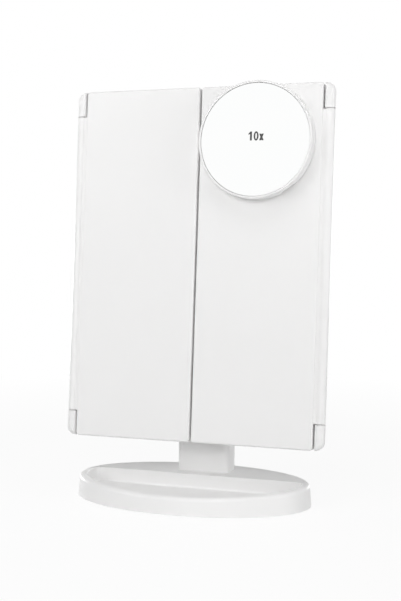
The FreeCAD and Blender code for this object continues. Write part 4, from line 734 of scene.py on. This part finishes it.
def row_tree(name, shape_kind, **shape_sockets):
    """A node tree that sets a row of small boxes or domes along a line, from named sizes."""
    tree = bpy.data.node_groups.new(name, "GeometryNodeTree")
    for label, kind in ROW_INPUTS.items():
        tree.interface.new_socket(label, in_out="INPUT", socket_type=kind)
    tree.interface.new_socket("Row", in_out="OUTPUT", socket_type="NodeSocketGeometry")
    maker = NodeMaker(tree)
    count, start, step, size, finish = [
        maker.node("NodeGroupInput", output=label) for label in ROW_INPUTS
    ]
    line_sockets = {"Count": count, "Start Location": start, "Offset": step}
    line = maker.node("GeometryNodeMeshLine", {}, line_sockets, "Mesh")
    shape = maker.node(shape_kind, {}, shape_sockets, "Mesh")
    spread_sockets = {"Points": line, "Instance": shape, "Scale": size}
    spread = maker.node("GeometryNodeInstanceOnPoints", {}, spread_sockets, "Instances")
    real = maker.node("GeometryNodeRealizeInstances", {}, {"Geometry": spread}, "Geometry")
    dressed_sockets = {"Geometry": real, "Material": finish}
    dressed = maker.node("GeometryNodeSetMaterial", {}, dressed_sockets, "Geometry")
    maker.node("NodeGroupOutput", {}, {"Row": dressed})
    return tree


def row_mesh(tree, material, **sizes):
    """The plain mesh of one row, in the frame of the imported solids."""
    maker = bpy.data.objects.new("row_maker", bpy.data.meshes.new("row_points"))
    modifier = maker.modifiers.new("row", "NODES")
    modifier.node_group = tree
    inputs = [item for item in tree.interface.items_tree if item.in_out == "INPUT"]
    sockets = {item.name: item.identifier for item in inputs}
    for label, size in {**sizes, "Finish": material}.items():
        modifier[sockets[label]] = size
    mesh = plain_mesh(maker)
    mesh.transform(HEAD_POSE)
    return mesh


# Phosphor domes on the light chips: one row up each side and one along the top
LENS_SIZE = Vector((2.4, 0.5, 2.0)) * MM
LENS_SEGMENTS = 16
LENS_RINGS = 8
LENS_RADIUS_SHARE = 0.5
lens_tree = row_tree(
    "lens_row", "GeometryNodeMeshUVSphere",
    Segments=LENS_SEGMENTS, Rings=LENS_RINGS, Radius=LENS_RADIUS_SHARE,
)
side_step = Vector((0.0, 0.0, CHIP_SIDE_PITCH))
top_step = Vector((CHIP_TOP_PITCH, 0.0, 0.0))
top_start = -CHIP_TOP_PITCH * (CHIP_TOP_COUNT - 1) / 2
for row, count, first, step in (
    ("left", CHIP_SIDE_COUNT, (-CHIP_SIDE_REACH, CHIP_FACE, CHIP_FIRST_RISE), side_step),
    ("right", CHIP_SIDE_COUNT, (CHIP_SIDE_REACH, CHIP_FACE, CHIP_FIRST_RISE), side_step),
    ("top", CHIP_TOP_COUNT, (top_start, CHIP_FACE, CHIP_TOP_RISE), top_step),
):
    lenses = row_mesh(lens_tree, phosphor, Count=count, Start=Vector(first), Step=step, Size=LENS_SIZE)
    finished(f"light_lenses_{row}", lenses, phosphor, "head")

# Gilt contacts on both faces of the socket's tongue
CONTACT_COUNT = 12
CONTACT_PITCH = 0.5 * MM
CONTACT_SIZE = Vector((0.25, 0.06, 3.2)) * MM
TONGUE_CENTRE = Vector((42.0, 15.8, 4.6)) * MM
TONGUE_HALF = 0.35 * MM
contact_tree = row_tree("contact_row", "GeometryNodeMeshCube")
contact_step = Vector((CONTACT_PITCH, 0.0, 0.0))
for face, side in (("front", -1), ("back", 1)):
    first = TONGUE_CENTRE + Vector((-CONTACT_PITCH * (CONTACT_COUNT - 1) / 2, side * TONGUE_HALF, 0.0))
    contacts = row_mesh(
        contact_tree, gilt, Count=CONTACT_COUNT, Start=first, Step=contact_step, Size=CONTACT_SIZE,
    )
    finished(f"socket_contacts_{face}", contacts, gilt, "head")

# Studio: lengths in metres, lamp powers in watts
FLOOR_HALF = 3.0
FLOOR_DROP = 0.2 * MM
FLOOR_LEVEL = 0.9
FLOOR_CORNER_SHARES = ((-1, -1), (1, -1), (1, 1), (-1, 1))
NEAR_WHITE_SHARE = 0.93
FAR_WHITE_SHARE = 1.0
NEAR_REACH = 0.3
FAR_REACH = 0.7
WHITE = grey(1.0)
WHITE_STRENGTH = 1.0
WORLD_STRENGTH = 0.05
HEAD_MIDDLE = Vector((0.0, 0.0, 0.14))
LAMPS = {
    "left_lamp": {"place": (-1.1, -1.3, 0.9), "size": 1.0, "power": 8.8},
    "front_lamp": {"place": (0.2, -1.8, 0.7), "size": 1.0, "power": 10.4},
    "high_lamp": {"place": (0.0, -0.65, 1.8), "size": 1.0, "power": 9.2},
    "right_lamp": {"place": (1.7, -0.3, 0.4), "size": 1.0, "power": 11.4},
    "rear_lamp": {"place": (0.5, 1.8, 0.2), "size": 0.4, "power": 5.0},
    "far_lamp": {"place": (-1.7, 1.1, 0.14), "size": 0.25, "power": 11.0},
}


def add_lamp(name, place, size, power):
    """A soft round lamp that points at the middle of the head."""
    lamp = bpy.data.lights.new(name, "AREA")
    lamp.shape = "DISK"
    lamp.size = size
    lamp.energy = power
    holder = bpy.data.objects.new(name, lamp)
    holder.location = place
    holder.rotation_euler = (HEAD_MIDDLE - Vector(place)).to_track_quat("-Z", "Y").to_euler()
    scene.collection.objects.link(holder)


def seen_share(maker):
    """1 for rays that the camera, a mirror or glass sees, and 0 for rays that only light the object."""
    camera_ray = maker.node("ShaderNodeLightPath", output="Is Camera Ray")
    glossy_ray = maker.node("ShaderNodeLightPath", output="Is Glossy Ray")
    clear_ray = maker.node("ShaderNodeLightPath", output="Is Transmission Ray")
    return clear_ray.maths("MAXIMUM", camera_ray.maths("MAXIMUM", camera_ray, glossy_ray), clear_ray)


def make_floor():
    """A wide pale floor that the camera sees almost white, with the object's faint shadow."""
    mesh = bpy.data.meshes.new("floor")
    corners = [(x * FLOOR_HALF, y * FLOOR_HALF, -FLOOR_DROP) for x, y in FLOOR_CORNER_SHARES]
    mesh.from_pydata(corners, [], [(0, 1, 2, 3)])
    floor = bpy.data.objects.new("floor", mesh)
    scene.collection.objects.link(floor)
    material = bpy.data.materials.new("pale_floor")
    material.use_nodes = True
    material.node_tree.nodes.clear()
    maker = NodeMaker(material.node_tree)
    matt = maker.node("ShaderNodeBsdfDiffuse", {}, {"Color": grey(FLOOR_LEVEL)})
    glow = maker.node("ShaderNodeEmission", {}, {"Strength": WHITE_STRENGTH})
    reach = maker.length(maker.place())
    white = maker.between(reach, NEAR_REACH, FAR_REACH, NEAR_WHITE_SHARE, FAR_WHITE_SHARE)
    surface = maker.node("ShaderNodeMixShader", {}, {"Fac": seen_share(maker) * white, 1: matt, 2: glow})
    maker.node("ShaderNodeOutputMaterial", {}, {"Surface": surface})
    mesh.materials.append(material)


def make_world():
    """White where it is seen, and a plain soft level where it lights the object."""
    world = bpy.data.worlds.new("studio")
    world.use_nodes = True
    world.node_tree.nodes.clear()
    scene.world = world
    maker = NodeMaker(world.node_tree)
    light, white = [
        maker.node("ShaderNodeBackground", {}, {"Color": WHITE, "Strength": strength})
        for strength in (WORLD_STRENGTH, WHITE_STRENGTH)
    ]
    surface = maker.node("ShaderNodeMixShader", {}, {"Fac": seen_share(maker), 1: light, 2: white})
    maker.node("ShaderNodeOutputWorld", {}, {"Surface": surface})


make_floor()
make_world()
for lamp_name, lamp_settings in LAMPS.items():
    add_lamp(lamp_name, **lamp_settings)

# Camera, fitted to the edges in the photograph
CAMERA_PLACE = Vector((0.26126, -0.70733, 0.17312))
CAMERA_AIM = Vector((-0.00467, 0.0, 0.12046))
CAMERA_ROLL = math.radians(0.1525)
CAMERA_LENS_IN_MM = 69.0
CAMERA_SENSOR_IN_MM = 36.0
CAMERA_SHIFT_SHARES = (0.02366, 0.02885)
CAMERA_NEAREST = 0.05
camera = bpy.data.cameras.new("camera")
camera.lens = CAMERA_LENS_IN_MM
camera.sensor_width = CAMERA_SENSOR_IN_MM
camera.shift_x, camera.shift_y = CAMERA_SHIFT_SHARES
camera.clip_start = CAMERA_NEAREST
viewer = bpy.data.objects.new("camera", camera)
scene.collection.objects.link(viewer)
aimed = (CAMERA_AIM - CAMERA_PLACE).to_track_quat("-Z", "Y").to_matrix().to_4x4()
viewer.matrix_world = Matrix.Translation(CAMERA_PLACE) @ aimed @ Matrix.Rotation(CAMERA_ROLL, 4, "Z")
scene.camera = viewer
scene.view_settings.view_transform = "Standard"
